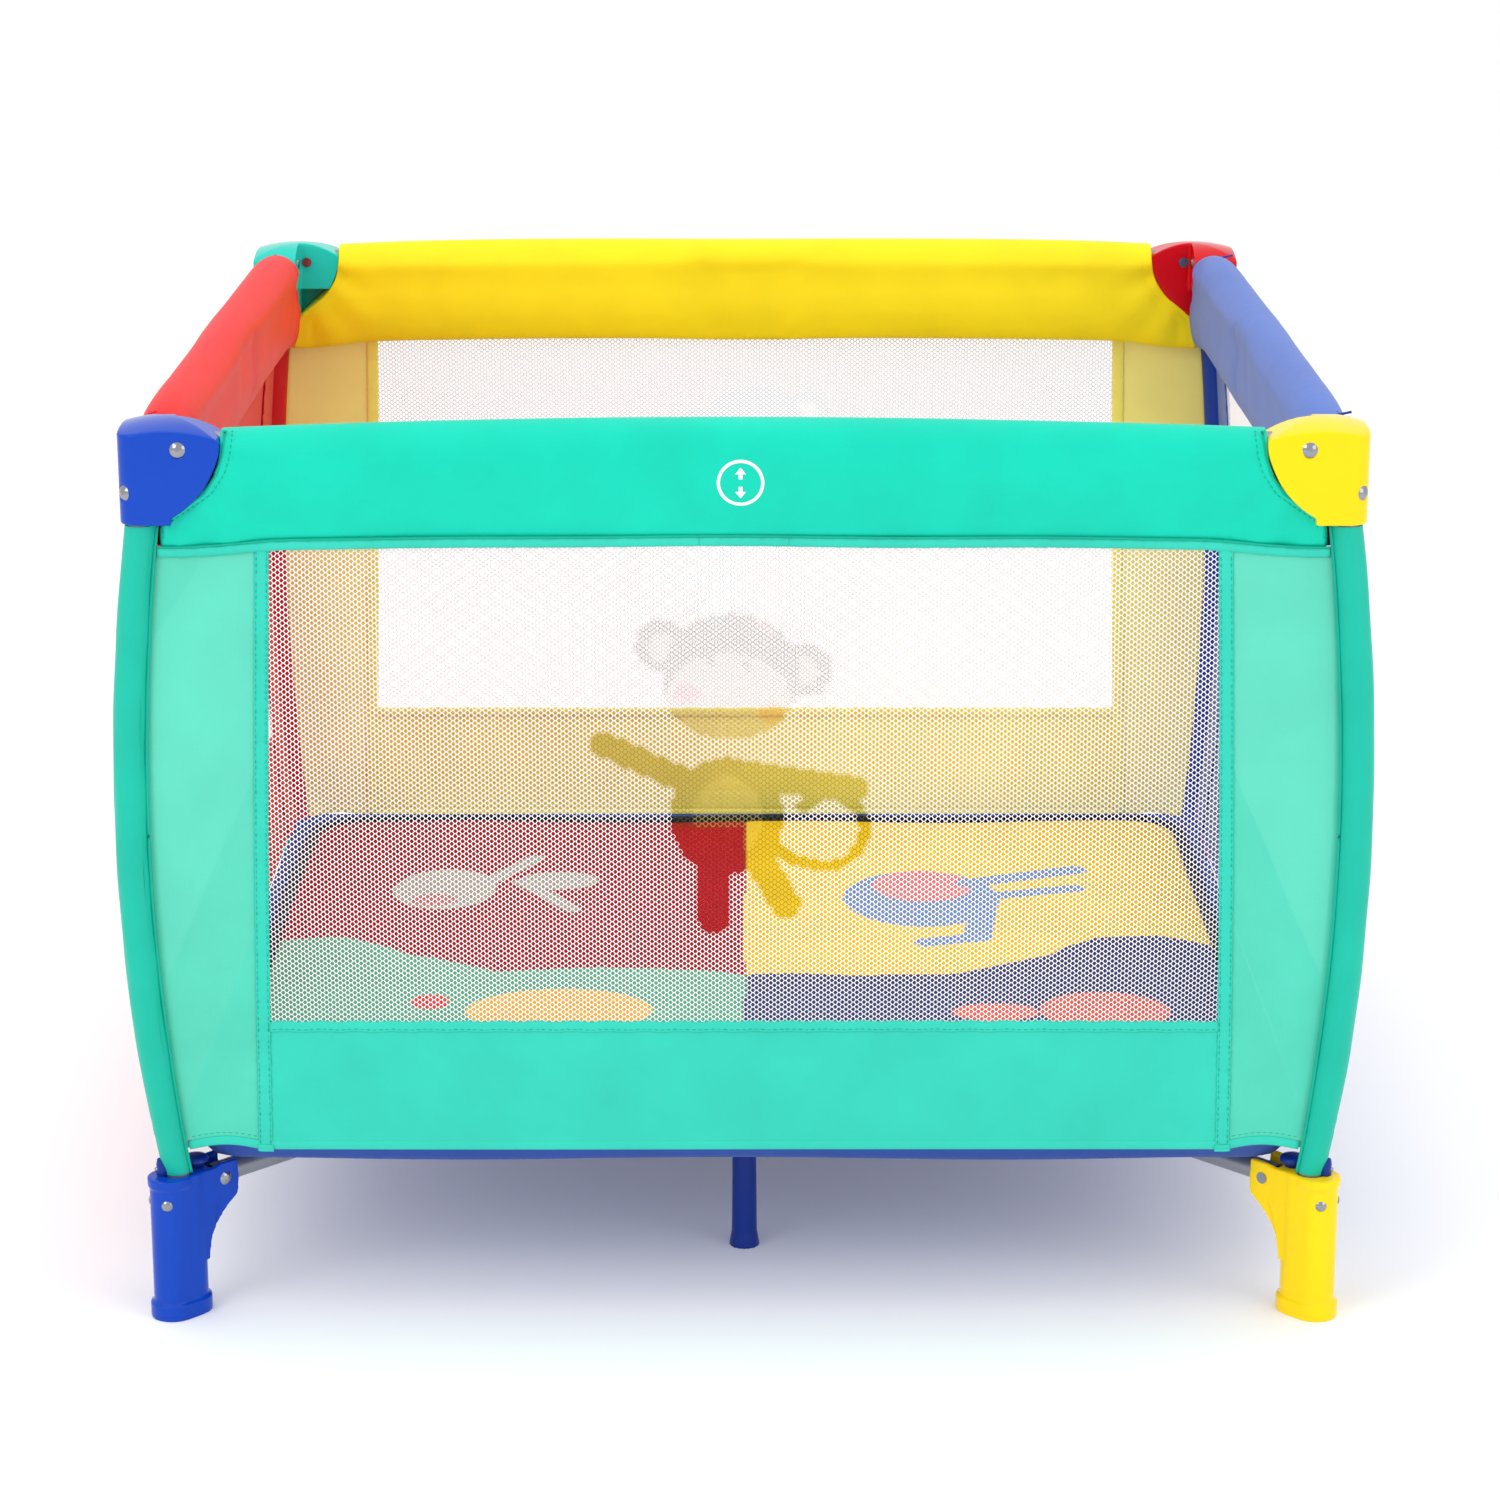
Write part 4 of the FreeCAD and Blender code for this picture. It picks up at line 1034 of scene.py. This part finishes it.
# plain rounds and limbs printed on the mat: (kind, numbers, ink) in metres
matShapes = [
    ("round", (-0.301, 0.197, 0.052, 0.066), "stone"), ("round", (-0.188, 0.224, 0.040, 0.030), "ash"),
    ("limb", (-0.262, 0.215, -0.215, 0.300, 0.010), "ash"), ("limb", (-0.225, 0.22, -0.17, 0.13, 0.009), "ash"),
    ("round", (-0.310, 0.160, 0.024, 0.020), "rose"),
    ("round", (0.176, 0.165, 0.078, 0.088), "sky"), ("round", (0.178, 0.205, 0.050, 0.050), "coral"),
    ("limb", (0.225, 0.215, 0.335, 0.262, 0.013), "sky"), ("limb", (0.235, 0.17, 0.330, 0.200, 0.011), "sky"),
    ("limb", (0.235, 0.13, 0.225, 0.045, 0.014), "sky"), ("limb", (0.225, 0.045, 0.175, 0.030, 0.012), "sky"),
    ("round", (-0.170, -0.165, 0.085, 0.060), "orange"), ("round", (-0.290, -0.140, 0.018, 0.020), "tomato"),
    ("round", (-0.060, -0.250, 0.060, 0.040), "brick"),
    ("round", (0.330, -0.165, 0.060, 0.050), "salmon"), ("round", (0.230, -0.170, 0.040, 0.024), "salmon"),
    ("limb", (0.15, -0.27, 0.30, -0.30, 0.022), "straw"),
]
# the line between the back colours and the front ones
splitX = [-0.46, -0.387, -0.31, -0.234, -0.14, 0.0, 0.1, 0.2, 0.27, 0.339, 0.40, 0.46]
splitY = [0.062, 0.05, -0.008, -0.056, -0.044, -0.05, -0.066, -0.062, -0.02, 0.045, 0.055, 0.036]


def matInk(x, y):
    left = (x < 0)[..., None]
    ink = np.where((y > np.interp(x, splitX, splitY))[..., None],
                   np.where(left, matInks["crimson"], matInks["yellow"]),
                   np.where(left, matInks["mint"], matInks["slate"]))
    for kind, size, name in matShapes:
        ink[inShape(kind, size, x, y)] = matInks[name]
    return ink


s, t, size = squareGrid(44)
half, curve = mat["half"], mat["round"] / mat["half"]
smaller = np.minimum(np.abs(s), np.abs(t)) / np.maximum(size, 1e-9)
# the square's corner pulled in to a quarter circle
beyond = np.clip((smaller - (1 - curve)) / curve, 0, 1)
reach = 1 - curve * (1 - np.sqrt(np.clip(1 - (beyond * 0.76) ** 2, 0, 1))) * 0.83
shape = 1 + (reach - 1) * size ** 6
x, y = s * half * shape, t * half * shape
edge = (1 - size) * half
plump = np.sqrt(np.clip(1 - (1 - np.clip(edge / mat["edge"], 0, 1)) ** 2, 0, 1))
seams = 1 - 0.32 * (np.exp(-(x / mat["seam"]) ** 2) + np.exp(-(y / mat["seam"]) ** 2)).clip(0, 1)
middle = mat["low"] + mat["waist"]
ripple = mat["ripple"] * ease(1 - edge / 0.06) * np.sin(x * 19 + 0.7) * np.cos(y * 17 - 0.4)
ripple = ripple + 0.002 * ease(1 - edge / 0.05)
top = middle + (mat["high"] - middle) * plump * seams + np.abs(ripple) * 0.6 + 0.0008 * wave(x, y, 3, 0.5)
under = middle - (middle - mat["low"]) * plump
rim = mat["rim"] + ripple
top, under = np.where(edge < 1e-6, rim, top), np.where(edge < 1e-6, rim, under)
soup = newSoup()
addGrid(soup, np.stack([x, y, top], -1))
addGrid(soup, np.stack([x, y, under], -1)[::-1])
whole = meshFrom("matWhole", soup)


def sewRim(work):
    bmesh.ops.remove_doubles(work, verts=work.verts, dist=1e-5)
    faceOutward(work)


workOn(whole, sewRim)
padWhole = makePiece("matWhole", whole)
points = pointsOf(whole)
fromMiddle = np.abs(points[:, :2])
nearRim = fromMiddle.max(1) > half - 0.004
nearCentre = fromMiddle.max(1) < 0.0112
puff(padWhole, np.flatnonzero(nearRim | nearCentre | (points[:, 2] < middle - 0.004)), matPuff)
fine = subdivided(padWhole, 2)
bpy.data.objects.remove(padWhole)
points = pointsOf(fine)
setInk(fine, matInk(points[:, 0], points[:, 1]))

printFinish, tree, shader = newFinish("printedMat")
source = node(tree, "ShaderNodeVertexColor", layer_name="ink").outputs["Color"]
place, noise = mottle(tree, shader, None, 16, 0.05, source)
crease = node(tree, "ShaderNodeTexNoise", Scale=26, Detail=3.0, Distortion=0.6)
link(tree, place, "Object", crease, "Vector")
bumps(tree, shader, [(crease.outputs["Fac"], 0.3, 0.004), (weave(tree, place, 0.0012), 0.15, 0.0003)])
setInputs(shader, {"Roughness": 0.75, "Specular IOR Level": 0.15})
border = np.stack([x, y, rim], -1)
rimLine = np.vstack([border[:-1, 0], border[-1, :-1], border[:0:-1, -1], border[0, :0:-1]])
names = [f"mat_{corner}" for corner in corners]
for k, piece in enumerate(cutApart(fine, quarterOf, names, printFinish)):
    # the binding runs round the rim of each quarter
    a, b = quarters[k]
    mine = (rimLine[:, 0] * a > -1e-6) & (rimLine[:, 1] * b > -1e-6)
    start = np.flatnonzero(mine & ~np.roll(mine, 1))[0]
    run = np.roll(rimLine, -start, 0)[:int(mine.sum())]
    outward = run * [1, 1, 0]
    outward /= np.linalg.norm(outward, axis=1, keepdims=True)
    soup = newSoup()
    sweep(soup, run + outward * 0.0018, mat["piping"], 0, 12)
    pipe = makePiece(f"mat_binding_{corners[k]}", soup, finishes["binding"], outward=True)
    for item in (piece, pipe):
        toTube(item, k)
    if k == 0:
        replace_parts(piece, "play_mat")
print("floor and mat made")

# ---- camera, floor and light
view = {"at": (0.005, -3.595, 1.384), "down": 15.9, "lens": 95.2, "sensor": 36}
cameraData = bpy.data.cameras.new("camera")
cameraData.lens, cameraData.sensor_width = view["lens"], view["sensor"]
cameraData.clip_start, cameraData.clip_end = 0.05, 200
camera = addObject("camera", cameraData)
camera.location = view["at"]
camera.rotation_euler = (math.radians(90 - view["down"]), 0, 0)
bpy.context.scene.camera = camera

# each lamp: where it stands, where it points, its width and its power
lamps = {"overhead": ((0.0, -0.2, 3.0), (0, 0, 0.3), 2.6, 18),
         "key": ((-2.2, -2.6, 2.3), (0, 0, 0.4), 1.8, 27),
         "fill": ((2.6, -2.4, 1.6), (0, 0, 0.4), 1.8, 15)}
for name, (at, aim, width, power) in lamps.items():
    lamp = bpy.data.lights.new(name, "AREA")
    lamp.shape, lamp.size, lamp.energy = "SQUARE", width, power
    holder = addObject(name, lamp)
    holder.location = at
    holder.rotation_euler = (Vector(aim) - Vector(at)).to_track_quat("-Z", "Y").to_euler()

world = bpy.data.worlds.new("softbox")
bpy.context.scene.world = world
world.use_nodes = True
setInputs(world.node_tree.nodes["Background"], {"Color": (1, 1, 1, 1), "Strength": 0.98})

floorMesh = bpy.data.meshes.new("studioFloor")
floorMesh.from_pydata([(-40, -40, 0), (40, -40, 0), (40, 40, 0), (-40, 40, 0)], [], [(0, 1, 2, 3)])
floorFinish, tree, shader = newFinish("paleFloor")
mottle(tree, shader, (0.93, 0.93, 0.93, 1), 3, 0.004)
setInputs(shader, {"Roughness": 0.9, "Specular IOR Level": 0.1, "Emission Color": (1, 1, 1, 1),
                   "Emission Strength": 0.1})
makePiece("studioFloor", floorMesh, floorFinish)
bpy.context.scene.view_settings.view_transform = "Standard"
print("studio set")
